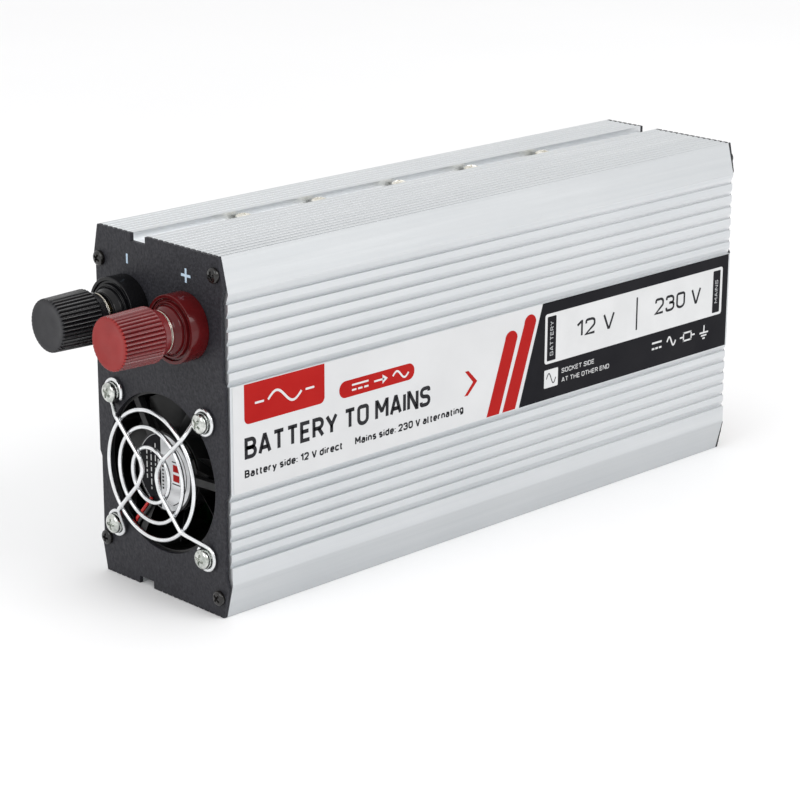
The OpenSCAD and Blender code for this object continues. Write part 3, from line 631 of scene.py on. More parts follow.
v, f = merge([screw((plate_x - 2 * guard_wire, fan_y + a * 25, fan_z + b * 25), (-1, 0, 0), 3.7, 2.88, 2.05, 1.2, 1.95, 2 * guard_wire + 1.5 + 25 + 4, t)
              for (a, b), t in zip(((1, 1), (-1, 1), (1, -1), (-1, -1)), (0.35, 0.1, 0.8, 0.55))])
finish_mesh("fan_screws_bright", v, f, CASE, zinc, 30, replaces=["fan_screws"])


# ------------------------------------------------------------------ terminals
def terminal(tag, y, off, front, body_mat, face_mat, coll_mat, clamp_body, knob_body):
    place = on_x(y, term_z)
    X = lambda d: plate_x - d      # distance out from the plate
    pr = [(X(-4.5), 4.02), (X(-4.5), 6.9), (X(0.0), 6.9), (X(0.0), 12.2), (X(7.6), 12.2), (X(7.6), 11.0), (X(6.7), 10.8), (X(6.7), 9.95), (X(8.2), 9.8), (X(8.2), 9.2), (X(7.7), 8.95), (X(7.9), 8.6), (X(9.2), 8.45), (X(10.4), 7.5), (X(11.2), 7.2), (X(11.3), 7.75), (X(12.0), 7.75), (X(12.0), 4.02)]
    rr = [0.2, 0.3, 0.15, 0.3, 0.22, 0.2, 0.2, 0.15, 0.18, 0.2, 0.15, 0.2, 1.1, 1.2, 0.3, 0.15, 0.2, 0.2]
    verts, faces = revolve([tuple(p) for p in rounded(pr, rr, 5, closed=True)], 128, place, closed=True)
    finish_mesh(tag + "_collar_moulded", verts, faces, CASE, coll_mat, 50, replaces=[tag + "_collar"])
    # threaded stud
    x0, x1 = X(29.0), X(-19.5)
    ring = int((x1 - x0) / 0.3125)
    prof = [(x0, 0.0), (x0, 3.2)] + [(x0 + 0.3 + i * 0.3125, 3.98) for i in range(ring)] + [(x1, 3.2), (x1, 0.0)]

    def thread(a, r, ph):
        if r < 3.9:
            return a, r
        t = (a / 1.25 - ph / (2 * pi)) % 1.0
        return a, 3.98 - 0.5 * (1 - abs(2 * t - 1))
    verts, faces = revolve(prof, 40, place, thread)
    finish_mesh(tag + "_stud_threaded", verts, faces, CASE, brass, 60, replaces=[tag + "_stud"])
    # two thin washers that ride on the clamp
    a0 = X(off + 12.0)
    parts = []
    for s, t, R in ((0.0, 0.27, 7.69), (0.53, 0.27, 7.69)):
        pr = [(a0 - s, 4.1), (a0 - s, R), (a0 - s - t, R), (a0 - s - t, 4.1)]
        parts.append(revolve([tuple(p) for p in rounded(pr, 0.1, 3, closed=True)], 96, place, closed=True))
    parts.append(revolve([(a0 - 0.2, 4.1), (a0 - 0.2, 6.5), (a0 - 0.6, 6.5), (a0 - 0.6, 4.1)], 64, place, closed=True))
    verts, faces = merge(parts)
    finish_mesh(tag + "_washers", verts, faces, clamp_body, ring_metal, 40, replaces=[tag + "_clamp_ring"])
    # knurled knob
    N, per = 40, 10
    k0, k1, k2, k3 = X(off + 12.8), X(off + 15.4), X(off + 17.3), front
    R0, R1 = 9.98, 9.5
    prof = [(k0, 4.1), (k0, 7.4)] + [tuple(p) for p in rounded([(k0, 7.2), (k0, 8.0), (k1, 8.0), (k2, 10.0)], [0, 0.35, 0.6, 0], 4)[1:-1]]
    for i in range(9):
        t = i / 8
        prof.append((k1 + (k2 - k1) * (0.2 + 0.8 * t), 8.0 + (R0 + 0.25 - 8.0) * (0.25 + 0.75 * t)))
    prof = sorted(prof[2:], key=lambda p: -p[0])
    body = [(k2 + (k3 + 0.75 - k2) * i / 26, 20.0) for i in range(1, 27)]
    lip = [(k3 + 0.62, 9.62), (k3 + 0.45, 9.5), (k3 + 0.28, 9.33), (k3 + 0.12, 9.14), (k3 + 0.03, 8.95), (k3, 8.7)]
    full = [(k0, 4.1), (k0, 7.4)] + prof + body + lip + [(k3, 7.6), (k3 + 0.06, 7.35), (k3 + 0.07, 4.0), (k3 + 0.07, 0.0)]

    def knurl(a, r, ph):
        t = (ph * N / (2 * pi)) % 1.0
        u = abs(2 * t - 1)                     # 1 on the ridge, 0 in the groove
        ridge = 1 - max(0.0, 1 - u * 1.75) ** 0.85
        lim = (R0 + (R1 - R0) * min(1.0, max(0.0, (k2 - a) / (k2 - k3)))) - 0.80 * (1 - ridge) - 0.10 * max(0.0, u - 0.8) / 0.2
        if a > k0 - 2.7:
            return a, r
        if a < k3 + 0.08:
            return a, min(r, lim) if r > 8 else r
        return a, min(r, lim)
    verts, faces = revolve(full, N * per, place, knurl)
    # bore and its end wall
    bore = [(k0, 4.1), (k3 + 2.4, 4.1), (k3 + 2.0, 3.6), (k3 + 2.0, 0.0)]
    bv, bf = revolve(bore, N * per, place)
    v2, f2 = merge([(verts, faces), (bv, bf)])
    fm = [1 if all(v2[i][0] < k3 + 0.5 for i in q) else 0 for q in f2]
    o = finish_mesh(tag + "_knob_knurled", v2, f2, knob_body, None, 48, mats=[body_mat, face_mat], face_mat=fm, replaces=[tag + "_knob"])
    bm = bmesh.new()
    bm.from_mesh(o.data)
    bmesh.ops.remove_doubles(bm, verts=bm.verts, dist=0.000004)
    bmesh.ops.recalc_face_normals(bm, faces=bm.faces)
    bm.to_mesh(o.data)
    bm.free()


terminal("red", red_y, 0.0, red_front, red_pl, lit_red_face, shaded_red_collar, "red_clamp", "red_knob")
terminal("black", black_y, 1.4, black_front, black_pl, lit_black_face, shaded_black_collar, "black_clamp", "black_knob")
soften(["red_stud_nut", "black_stud_nut"], 0.25, 2, 28, brass)

# ------------------------------------------------------------------ fan
soften("fan_frame", 0.22, 2, 30, fan_pl)
hub = [(fx0 + 4.0, 13.2), (fx0 + 4.0, 14.4), (fx1 - 2.0, 14.4), (fx1 - 2.0, 0.0)]
inner = [(fx1 - 3.6, 0.0), (fx1 - 3.6, 13.2), (fx0 + 4.0, 13.2)]
place = on_x(fan_y, fan_z)
cup = [tuple(p) for p in rounded([(fx1 - 3.6, 1.6), (fx1 - 3.6, 13.2), (fx0 + 4.0, 13.2), (fx0 + 4.0, 14.4), (fx1 - 2.0, 14.4), (fx1 - 2.0, 1.0)], [0, 0.8, 0.3, 0.3, 1.0, 0], 4)]
parts = [revolve([(fx1 - 3.6, 0.0)] + cup + [(fx1 - 2.0, 0.0)], 96, place),
         revolve([(fx0 + 3.4, 0.0), (fx0 + 3.4, 1.2), (fx0 + 3.7, 1.5), (fx1 - 3.0, 1.5), (fx1 - 3.0, 0.0)], 32, place)]
xa, xb = fx0 + 5.0, fx1 - 2.6
for b in range(7):
    th0 = 2 * pi * b / 7 + 0.35
    nr, nt = 9, 13
    top, bot = [], []
    for i in range(nr):
        rr = 14.1 + (27.5 - 14.1) * i / (nr - 1)
        for j in range(nt):
            t = j / (nt - 1)
            x = xa + (xb - xa) * t
            s = (t - 0.5) * (15.0 - 2.0 * i / (nr - 1)) + 2.4 * sin(pi * t) + 1.6 * (i / (nr - 1)) ** 2
            th = 0.72 * math.sqrt(max(0.02, sin(pi * min(1, max(0, 0.06 + 0.88 * t)))))
            for lst, sg in ((top, 1), (bot, -1)):
                a = th0 + (s + sg * th) / (rr * 0.62 + 9.0)
                lst.append((x + sg * 0.28 * th, fan_y + rr * cos(a), fan_z + rr * sin(a)))
    o = nr * nt
    fc = []
    for i in range(nr - 1):
        for j in range(nt - 1):
            a, bq, c, d = i * nt + j, i * nt + j + 1, (i + 1) * nt + j + 1, (i + 1) * nt + j
            fc += [(a, bq, c, d), (o + d, o + c, o + bq, o + a)]
    rim = [j for j in range(nt)] + [i * nt + nt - 1 for i in range(1, nr)] + [(nr - 1) * nt + j for j in range(nt - 2, -1, -1)] + [i * nt for i in range(nr - 2, 0, -1)]
    for k in range(len(rim)):
        p, q = rim[k], rim[(k + 1) % len(rim)]
        fc.append((p, q, o + q, o + p))
    parts.append((top + bot, fc))
v, f = merge(parts)
finish_mesh("fan_rotor_bladed", v, f, "fan_rotor", fan_pl, 40, replaces=["fan_rotor"])
soften("fan_stator", 0.2, 2, 30, copper)
soften("fan_nuts", 0.2, 2, 30, zinc)


def disc_sector(y, z, r0, r1, a0, a1, x0, x1, n=40):
    pts = [(y + r1 * cos(a0 + (a1 - a0) * i / n), z + r1 * sin(a0 + (a1 - a0) * i / n)) for i in range(n + 1)]
    pts += [(y + r0 * cos(a1 + (a0 - a1) * i / n), z + r0 * sin(a1 + (a0 - a1) * i / n)) for i in range(n + 1)]
    m = len(pts)
    vv = [(x0, p[0], p[1]) for p in pts] + [(x1, p[0], p[1]) for p in pts]
    ff = [tuple(range(m)), tuple(range(2 * m - 1, m - 1, -1))] + [(i, (i + 1) % m, (i + 1) % m + m, i + m) for i in range(m)]
    return vv, ff


def yz_poly(pts, x0, x1):
    m = len(pts)
    vv = [(x0, p[0], p[1]) for p in pts] + [(x1, p[0], p[1]) for p in pts]
    ff = [tuple(range(m)), tuple(range(2 * m - 1, m - 1, -1))] + [(i, (i + 1) % m, (i + 1) % m + m, i + m) for i in range(m)]
    return vv, ff


# foil disc on the hub: silver to the right, a dark printed segment to the left, a red block and fine rules
sx = fx0 - 0.15
v, f = revolve([(fx0 - 0.01, 0.0), (fx0 - 0.01, 14.15), (sx + 0.05, 14.2), (sx + 0.02, 14.1), (sx + 0.02, 0.0)], 96, on_x(fan_y, fan_z))
finish_mesh("hub_foil", v, f, CASE, foil, 40, replaces=["fan_sticker"])
yb = -1.8
a_c = math.acos(-yb / 14.0)
n = 48
pts = [(fan_y + 14.0 * cos(-a_c + 2 * a_c * i / n), fan_z + 14.0 * sin(-a_c + 2 * a_c * i / n)) for i in range(n + 1)]
v, f = yz_poly(pts, sx, sx + 0.015)
finish_mesh("hub_dark_print", v, f, CASE, ink_black, 40)
parts = [yz_poly([(fan_y + y0, fan_z + z0), (fan_y + y1, fan_z + z0), (fan_y + y1, fan_z + z1), (fan_y + y0, fan_z + z1)], sx - 0.012, sx + 0.01)
         for y0, y1, z0, z1 in [(-8.3, -4.9, -2.1, 0.5), (-8.3, -4.9, 1.5, 4.1)]]
v, f = merge(parts)
finish_mesh("hub_red_blocks", v, f, CASE, ink_red, 40)
parts = [disc_sector(fan_y, fan_z, 12.1, 12.45, rad(112), rad(248), sx - 0.012, sx + 0.01)]
for y0, y1, z0, z1 in [(-8.8, -4.4, -3.3, -2.85), (-8.8, -4.4, 4.9, 5.35)] + [(0.3, 1.2, -6.4 + 1.35 * i, -5.6 + 1.35 * i - (0.25 if i % 3 == 1 else 0)) for i in range(10)]:
    parts.append(yz_poly([(fan_y + y0, fan_z + z0), (fan_y + y1, fan_z + z0), (fan_y + y1, fan_z + z1), (fan_y + y0, fan_z + z1)], sx - 0.012, sx + 0.01))
v, f = merge(parts)
finish_mesh("hub_dark_rules", v, f, CASE, ink_black, 40)
parts = []
for k, (yy, z0, z1) in enumerate([(9.4, -4.5, 5.0), (7.0, -8.2, 7.4), (4.6, -6.2, 8.6), (3.0, -8.6, 3.2)]):
    z = z0
    m = 0
    while z < z1:
        ln = (1.6, 0.9, 2.3, 1.2)[(m + k) % 4]
        parts.append(yz_poly([(fan_y + yy, fan_z + z), (fan_y + yy + 0.55, fan_z + z), (fan_y + yy + 0.55, fan_z + z + ln), (fan_y + yy, fan_z + z + ln)], sx - 0.012, sx + 0.008))
        z += ln + 0.8
        m += 1
v, f = merge(parts)
finish_mesh("hub_light_rules", v, f, CASE, ink_white, 40)

# wire guard: three welded rings under two bent wires whose ends loop round the screws
gx = plate_x - 4.65
gz = fan_z + 0.4
parts = []
for R in (23.7, 17.5, 10.1):
    n = 120
    parts.append(sweep([(gx, fan_y + R * cos(2 * pi * i / n), gz + R * sin(2 * pi * i / n)) for i in range(n)], guard_wire, 18, closed=True))
bxr, lx = gx - 2 * guard_wire + 0.15, plate_x - guard_wire


def loop(cy, cz, p, direction, sweep_deg, R=4.5):
    """Arc round a screw that ends at the tangent to p; direction is +1 or -1."""
    dy, dz = p[0] - cy, p[1] - cz
    d = math.hypot(dy, dz)
    base = math.atan2(dz, dy)
    off = math.acos(min(1.0, R / d))
    ta = base + direction * off
    n = 30
    return [(lx, cy + R * cos(ta + direction * rad(sweep_deg) * (n - i) / n), cz + R * sin(ta + direction * rad(sweep_deg) * (n - i) / n)) for i in range(n + 1)]


def guard_side(cy, mids, d_top, d_bot, s_top, s_bot):
    top = loop(cy, fan_z + 25, mids[0], d_top, s_top)
    bot = loop(cy, fan_z - 25, mids[-1], d_bot, s_bot)[::-1]
    mid = [top[-1]] + [(bxr, y, z) for y, z in mids] + [bot[0]]
    mid = rounded(mid, [0] + [3.2] + [6.0] * (len(mids) - 2) + [3.2] + [0], 6)
    pts = [Vector(p) for p in top[:-1]] + resample(mid, 1.2) + [Vector(p) for p in bot[1:]]
    # ease the corners between loop and climb
    for _ in range(3):
        pts = [pts[0]] + [(pts[i - 1] + pts[i] * 2 + pts[i + 1]) / 4 for i in range(1, len(pts) - 1)] + [pts[-1]]
    return sweep(pts, guard_wire, 18)


parts.append(guard_side(fan_y + 25, [(17.8, 64.6), (4.4, 51.8), (2.5, 47.9), (5.8, 41.4), (17.6, 29.0)], 1, 1, 285, 285))
parts.append(guard_side(fan_y - 25, [(-20.6, 65.6), (-7.6, 53.5), (-4.2, 47.7), (-6.3, 41.4), (-17.6, 29.6)], 1, 1, 285, 285))
v, f = merge(parts)
finish_mesh("fan_guard_wires", v, f, CASE, chrome, 60, replaces=["fan_guard"])


def pol(r, a, o):
    return (r * cos(rad(a)) - o * sin(rad(a)) + fan_y, r * sin(rad(a)) + o * cos(rad(a)) + fan_z)


for o_, m_, nm in ((0.75, red_ins, "fan_lead_red"), (-0.75, black_ins, "fan_lead_black")):
    e = fx0 - 0.82
    p0, p1, p2 = pol(13, -49, o_ - 3), pol(26, -49, o_ - 3), pol(31.2, -49, o_ - 3)
    path = rounded([(e, *p0), (e, *p1), (fx0 + 2.4, *p2), (fx1 + 4, *p2), (fx1 + 14, 19.5, 26 + 2 * o_), (fx1 + 14, 21.9, 26 + 2 * o_)], 1.6, 6)
    v, f = sweep(resample(path, 1.5), 0.62, 14)
    finish_mesh(nm, v, f, CASE, m_, 60, replaces=["fan_lead"] if o_ > 0 else ())

# plus and minus marks printed beside the posts
mx = plate_x - 0.03


def plate_rect(y0, y1, z0, z1):
    return yz_poly([(y0, z0), (y1, z0), (y1, z1), (y0, z1)], mx, plate_x + 0.02)


pts = [(-15.9 + a, 121.4 + b) for a, b in [(-2.5, -0.48), (-0.48, -0.48), (-0.48, -2.5), (0.48, -2.5), (0.48, -0.48), (2.5, -0.48), (2.5, 0.48), (0.48, 0.48), (0.48, 2.5), (-0.48, 2.5), (-0.48, 0.48), (-2.5, 0.48)]]
v, f = yz_poly(pts, mx, plate_x + 0.02)
finish_mesh("mark_plus", v, f, CASE, mark, 40)
v, f = plate_rect(15.8, 16.75, 119.7, 123.2)
finish_mesh("mark_minus", v, f, CASE, mark, 40)

# ------------------------------------------------------------------ label
lo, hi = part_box("label_panel")
lx0, lx1, ly0, ly1, lz0, lz1 = lo.x / MM, hi.x / MM, lo.y / MM, hi.y / MM, lo.z / MM, hi.z / MM
y_base = ly1 - 0.12
v, f = prism(rect(lx0, lx1, lz0, lz1, 0.5), y_base, ly1 + 0.01)
finish_mesh("label_film", v, f, CASE, vinyl, 40, replaces=["label_panel"])
step = 0.02


def printed(name, polys, layer, mat):
    y = y_base - step * layer
    v, f = merge([prism(p, y, y + step * 0.9) for p in polys])
    return finish_mesh(name, v, f, CASE, mat, 40)


# plain single-weight letters, drawn as strokes; units: capital height 10
B4 = [2.9, 2.9, 2.9, 2.9]
GLYPHS = {
    "A": (6.6, [([(0, 0), (2.95, 10), (3.65, 10), (6.6, 0)], 0), ([(1.0, 3.0), (5.6, 3.0)], 0)]),
    "B": (6.0, [([(0, 5.2), (0, 10), (5.6, 10), (5.6, 5.2), (0, 5.2)], [0, 0, 2.3, 2.3, 0]), ([(0, 5.2), (6, 5.2), (6, 0), (0, 0), (0, 5.2)], [0, 2.5, 2.5, 0, 0])]),
    "C": (6.0, [([(6, 7.2), (6, 10), (0, 10), (0, 0), (6, 0), (6, 2.8)], [0] + B4 + [0])]),
    "D": (6.1, [([(0, 0), (0, 10), (6.1, 10), (6.1, 0), (0, 0)], [0, 0, 3.1, 3.1, 0])]),
    "E": (5.4, [([(5.4, 10), (0, 10), (0, 0), (5.4, 0)], 0), ([(0, 5.2), (4.7, 5.2)], 0)]),
    "H": (6.2, [([(0, 0), (0, 10)], 0), ([(6.2, 0), (6.2, 10)], 0), ([(0, 5.2), (6.2, 5.2)], 0)]),
    "I": (0.0, [([(0, 0), (0, 10)], 0)]),
    "K": (6.2, [([(0, 0), (0, 10)], 0), ([(0, 3.6), (5.7, 10)], 0), ([(2.1, 5.9), (6.2, 0)], 0)]),
    "M": (7.6, [([(0, 0), (0, 10), (0.5, 10), (3.5, 4.2), (4.1, 4.2), (7.1, 10), (7.6, 10), (7.6, 0)], 0)]),
    "N": (6.3, [([(0, 0), (0, 10), (0.55, 10), (5.75, 0), (6.3, 0), (6.3, 10)], 0)]),
    "O": (6.2, [([(3.1, 10), (0, 10), (0, 0), (6.2, 0), (6.2, 10), (3.1, 10)], [0, 3, 3, 3, 3, 0])]),
    "R": (6.0, [([(0, 0), (0, 10), (5.8, 10), (5.8, 4.7), (0, 4.7)], [0, 0, 2.6, 2.6, 0]), ([(3.2, 4.7), (6.1, 0)], 0)]),
    "S": (5.8, [([(5.7, 8.0), (5.7, 10), (0.1, 10), (0.1, 5.4), (5.8, 4.7), (5.8, 0), (0, 0), (0, 2.0)], [0, 2.0, 2.5, 2.3, 2.3, 2.5, 2.0, 0])]),
    "T": (6.2, [([(0, 10), (6.2, 10)], 0), ([(3.1, 10), (3.1, 0)], 0)]),
    "U": (6.2, [([(0, 10), (0, 0), (6.2, 0), (6.2, 10)], [0, 3.0, 3.0, 0])]),
    "V": (6.6, [([(0, 10), (2.95, 0), (3.65, 0), (6.6, 10)], 0)]),
    "W": (9.2, [([(0, 10), (1.95, 0), (2.45, 0), (4.35, 9), (4.85, 9), (6.75, 0), (7.25, 0), (9.2, 10)], 0)]),
    "Y": (6.4, [([(0, 10), (3.2, 4.4), (6.4, 10)], 0), ([(3.2, 4.6), (3.2, 0)], 0)]),
    "0": (5.8, [([(2.9, 10), (0, 10), (0, 0), (5.8, 0), (5.8, 10), (2.9, 10)], [0, 2.8, 2.8, 2.8, 2.8, 0])]),
    "1": (3.0, [([(0, 7.7), (2.6, 10), (3.0, 10), (3.0, 0)], 0)]),
    "2": (5.8, [([(0.1, 7.5), (0.1, 10), (5.7, 10), (5.7, 5.6), (0, 0), (5.8, 0)], [0, 2.6, 2.7, 2.2, 0, 0])]),
    "3": (5.8, [([(0.1, 7.7), (0.1, 10), (5.5, 10), (5.5, 5.3), (2.2, 5.3)], [0, 2.5, 2.5, 2.2, 0]), ([(2.2, 5.3), (5.8, 5.3), (5.8, 0), (0, 0), (0, 2.3)], [0, 2.4, 2.6, 2.5, 0])]),
    "a": (4.9, [([(0.3, 6.9), (4.9, 6.9), (4.9, 0)], [0, 1.9, 0]), ([(4.9, 4.1), (0, 4.1), (0, 0), (4.9, 0)], [0, 1.8, 1.8, 0])]),
    "c": (4.6, [([(4.6, 5.4), (4.6, 6.9), (0, 6.9), (0, 0), (4.6, 0), (4.6, 1.5)], [0, 2, 2.3, 2.3, 2, 0])]),
    "d": (5.0, [([(5, 10), (5, 0)], 0), ([(5, 6.9), (0, 6.9), (0, 0), (5, 0)], [0, 2.3, 2.3, 0])]),
    "e": (4.9, [([(0, 3.5), (4.9, 3.5), (4.9, 6.9), (0, 6.9), (0, 0), (4.6, 0)], [0, 0, 2.2, 2.3, 2.3, 0])]),
    "g": (5.0, [([(5, 6.9), (0, 6.9), (0, 0), (5, 0)], [0, 2.3, 2.3, 0]), ([(5, 6.9), (5, -2.7), (0.5, -2.7)], [0, 2.0, 0])]),
    "i": (0.0, [([(0, 0), (0, 6.9)], 0), ([(0, 8.9), (0, 10.1)], 0)]),
    "l": (1.4, [([(0, 10), (0, 0), (1.4, 0)], [0, 1.2, 0])]),
    "n": (4.8, [([(0, 0), (0, 6.9)], 0), ([(0, 6.9), (4.8, 6.9), (4.8, 0)], [0, 2.2, 0])]),
    "r": (3.2, [([(0, 0), (0, 6.9)], 0), ([(0, 6.9), (3.2, 6.9)], 0)]),
    "s": (4.5, [([(4.4, 6.9), (0.1, 6.9), (0.1, 3.6), (4.5, 3.3), (4.5, 0), (0, 0)], [0, 1.6, 1.6, 1.6, 1.6, 0])]),
    "t": (3.0, [([(1, 9.3), (1, 0), (3.0, 0)], [0, 1.4, 0]), ([(0, 6.9), (3.0, 6.9)], 0)]),
    "u": (4.8, [([(0, 6.9), (0, 0), (4.8, 0)], [0, 2.2, 0]), ([(4.8, 6.9), (4.8, 0)], 0)]),
    "y": (5.4, [([(0, 6.9), (2.7, 0.2)], 0), ([(5.4, 6.9), (1.9, -2.7), (0.6, -2.7)], 0)]),
    ":": (0.0, [([(0, 0), (0, 1.3)], 0), ([(0, 5.4), (0, 6.7)], 0)]),
    "-": (3.4, [([(0, 4.2), (3.4, 4.2)], 0)]),
}


def strip(pts, w):
    """Band of width w along a path with mitred joints, as quads."""
    P = [pts[0]] + [b for a, b in zip(pts, pts[1:]) if (b - a).length > 1e-6]
    if len(P) < 2:
        return [], []
    ns = []
    for i in range(len(P)):
        d0 = (P[i] - P[i - 1]).normalized() if i > 0 else None
        d1 = (P[i + 1] - P[i]).normalized() if i < len(P) - 1 else None
        d0, d1 = d0 or d1, d1 or d0
        n0, n1 = Vector((-d0.y, d0.x)), Vector((-d1.y, d1.x))
        m_ = n0 + n1
        m_ = m_.normalized() if m_.length > 1e-3 else n0
        ns.append(m_ * (w / 2) * min(2.1, 1 / max(0.2, m_.dot(n0))))
    return [p + q for p, q in zip(P, ns)], [p - q for p, q in zip(P, ns)]


def printed_text(name, text, x0, x1, z0, cap, layer, mat, weight=1.6, turn=False):
    """Letters between x0 and x1; weight is the stroke on the capital height of 10."""
    runs, pen = [], 0.0
    for ch in text:
        if ch == " ":
            pen += 3.6
            continue
        wd, sts = GLYPHS[ch]
        for pts, rr in sts:
            q = [tuple(v) for v in rounded([(float(a), float(b)) for a, b in pts], rr, 6)] if rr else pts
            runs.append([Vector((pen + a, b)) for a, b in q])
        pen += wd + weight + 1.15
    pen -= weight + 1.15
    y = y_base - step * layer
    k = (10 - weight) / 10.0
    run = cap if turn else x1 - x0
    tall = (x1 - x0) if turn else cap
    ks, kz = (run - weight * tall / 10) / pen, tall / 10
    verts, faces = [], []
    for q in runs:
        q = [Vector((p.x * ks + weight * kz / 2, p.y * kz * k + weight * kz / 2)) for p in q]
        l, r_ = strip(q, weight * kz)
        m_ = len(l)
        if m_ < 2:
            continue
        o = len(verts)
        for d in (0.0, step * 0.9):
            for p in l + r_:
                verts.append((x1 - p.y, y + d, z0 + p.x) if turn else (x0 + p.x, y + d, z0 + p.y))
        t = 2 * m_
        for i in range(m_ - 1):
            a, b, c, e = o + i, o + i + 1, o + m_ + i + 1, o + m_ + i
            faces += [(a, b, c, e), (a + t, e + t, c + t, b + t), (a, a + t, b + t, b), (e, c, c + t, e + t)]
        faces += [(o, o + m_, o + m_ + t, o + t), (o + m_ - 1, o + m_ - 1 + t, o + 2 * m_ - 1 + t, o + 2 * m_ - 1)]
    return finish_mesh(name, verts, faces, CASE, mat, 40)


def slanted(x0, x1, z0, xt0, xt1, zt, peak):
    """Leaning stripe with a round upper end."""
    pts = [(x0, z0), (x1, z0)]
    cx, r = (xt0 + xt1) / 2, (xt1 - xt0) / 2
    for i in range(17):
        a = pi * i / 16
        pts.append((cx + r * cos(a), zt + (peak - zt) * sin(a)))
    return pts


tag = [tuple(p) for p in rounded([(-129.5, 70.6), (-91.9, 70.6), (-91.9, lz1 - 0.1), (-129.5, lz1 - 0.1)], [2.2, 2.2, 0.15, 0.15], 6, closed=True)]
printed("label_tag_red", [tag], 1, ink_red)
wv = [(-118.5 + 15.6 * i / 40, 77.6 + 2.6 * sin(2 * pi * i / 40)) for i in range(41)]
printed("label_tag_wave", [stroke(wv, 0.9), rect(-124.6, -120.4, 77.2, 78.0, 0.3), rect(-101.0, -96.8, 77.2, 78.0, 0.3)], 2, ink_white)
printed("label_pill_red", [rect(-84.8, -47.2, 70.1, 76.4, 3.1, 8)], 1, ink_red)
printed("label_pill_symbols", [rect(-78.6, -70.4, 73.9, 74.6, 0.2), rect(-78.6, -76.4, 72.0, 72.7, 0.2), rect(-75.6, -73.4, 72.0, 72.7, 0.2), rect(-72.6, -70.4, 72.0, 72.7, 0.2),
                               rect(-67.6, -62.6, 72.9, 73.6, 0.2), [(-63.4, 75.0), (-60.8, 73.25), (-63.4, 71.5)],
                               stroke([(-58.2 + 8.0 * i / 32, 73.25 + 1.5 * sin(2 * pi * i / 32)) for i in range(33)], 0.75)], 2, ink_white)
printed_text("label_heading", "BATTERY TO MAINS", -129.6, -38.8, 58.0, 7.8, 1, ink_text, 1.9)
printed_text("label_spec_in", "Battery side: 12 V direct", -129.7, -83.2, 51.2, 2.9, 1, ink_text, 2.3)
printed_text("label_spec_out", "Mains side: 230 V alternating", -77.1, -21.2, 51.2, 2.9, 1, ink_text, 2.3)
printed("label_chevron", [[(-20.6, 67.0), (-18.7, 67.0), (-13.9, 62.1), (-18.9, 57.3), (-20.8, 57.3), (-16.2, 62.1)]], 1, ink_red)
printed("label_stripes", [slanted(-8.6, -1.7, lz0 + 0.1, 1.1, 7.9, 74.9, 78.0), slanted(0.1, 7.2, lz0 + 0.1, 11.6, 18.2, 79.2, 82.4)], 1, ink_red)
v, f = prism([(9.3, lz0 - 0.01), (lx1 + 0.01, lz0 - 0.01), (lx1 + 0.01, lz1 + 0.01), (21.8, lz1 + 0.01)], y_base - step, ly1 - 0.005)
finish_mesh("label_dark_panel", v, f, CASE, ink_black, 40)
printed("label_window", [rect(23.4, 131.3, 60.5, 80.6, 1.2)], 2, ink_white)
printed("label_window_bars", [rect(24.7, 29.7, 61.6, 79.4, 0.4), rect(125.3, 129.9, 61.6, 79.4, 0.4)], 3, ink_black)
printed("label_window_rule", [rect(77.0, 77.9, 63.9, 77.4, 0.2)], 3, ink_text)
printed_text("label_bar_words_a", "BATTERY", 26.3, 28.2, 63.6, 13.8, 4, ink_grey, 1.5, turn=True)
printed_text("label_bar_words_b", "MAINS", 126.7, 128.5, 65.6, 9.8, 4, ink_grey, 1.5, turn=True)
printed_text("label_rating_a", "12 V", 41.5, 64.0, 67.7, 6.8, 3, ink_text, 1.55)
printed_text("label_rating_b", "230 V", 88.6, 117.6, 67.8, 6.8, 3, ink_text, 1.55)
printed("label_wave_square", [rect(23.4, 31.3, 50.8, 58.1, 0.5)], 2, ink_white)
wv = [(24.7 + 5.3 * i / 30, 54.4 + 2.1 * sin(2 * pi * i / 30)) for i in range(31)]
printed("label_wave_line", [stroke(wv, 0.45)], 3, ink_text)
printed_text("label_note_a", "SOCKET SIDE", 33.4, 52.5, 55.2, 1.9, 2, ink_white, 1.5)
printed_text("label_note_b", "AT THE OTHER END", 33.5, 61.5, 51.4, 1.9, 2, ink_white, 1.5)
# plain electrical symbols: direct current, alternating current, fuse, earth
sym = []
sym += [rect(87.6, 93.6, 55.7, 56.5), rect(87.6, 89.2, 53.3, 54.1), rect(89.8, 91.4, 53.3, 54.1), rect(92.0, 93.6, 53.3, 54.1)]
sym.append(stroke([(97.0 + 5.4 * i / 24, 54.9 + 1.9 * sin(2 * pi * i / 24)) for i in range(25)], 0.75))
sym += [stroke([(105.2, 54.9), (107.2, 54.9)], 0.7), stroke([(112.6, 54.9), (114.6, 54.9)], 0.7), rect(107.1, 112.7, 56.2, 56.9), rect(107.1, 112.7, 52.9, 53.6), rect(107.1, 107.8, 53.0, 56.8), rect(112.0, 112.7, 53.0, 56.8)]
sym += [rect(120.2, 120.9, 54.7, 57.4), rect(117.8, 123.3, 54.0, 54.7), rect(118.8, 122.3, 52.8, 53.45), rect(119.8, 121.3, 51.6, 52.25)]
printed("label_symbols", sym, 2, ink_white)

# ------------------------------------------------------------------ outlet end
soften("outlet_body", 0.5, 3, 30, white_pl)
soften("switch_body", 0.3, 2, 30, switch_pl)
soften("rocker", 0.3, 2, 30, rocker_pl)
paint("outlet_contacts", brass)
soften("outlet_contacts", 0.12, 2, 30)
soften("earth_nut", 0.3, 3, 30, brass)


def xprof(prof, y, z, n=48):
    return revolve(prof, n, on_x(y, z))


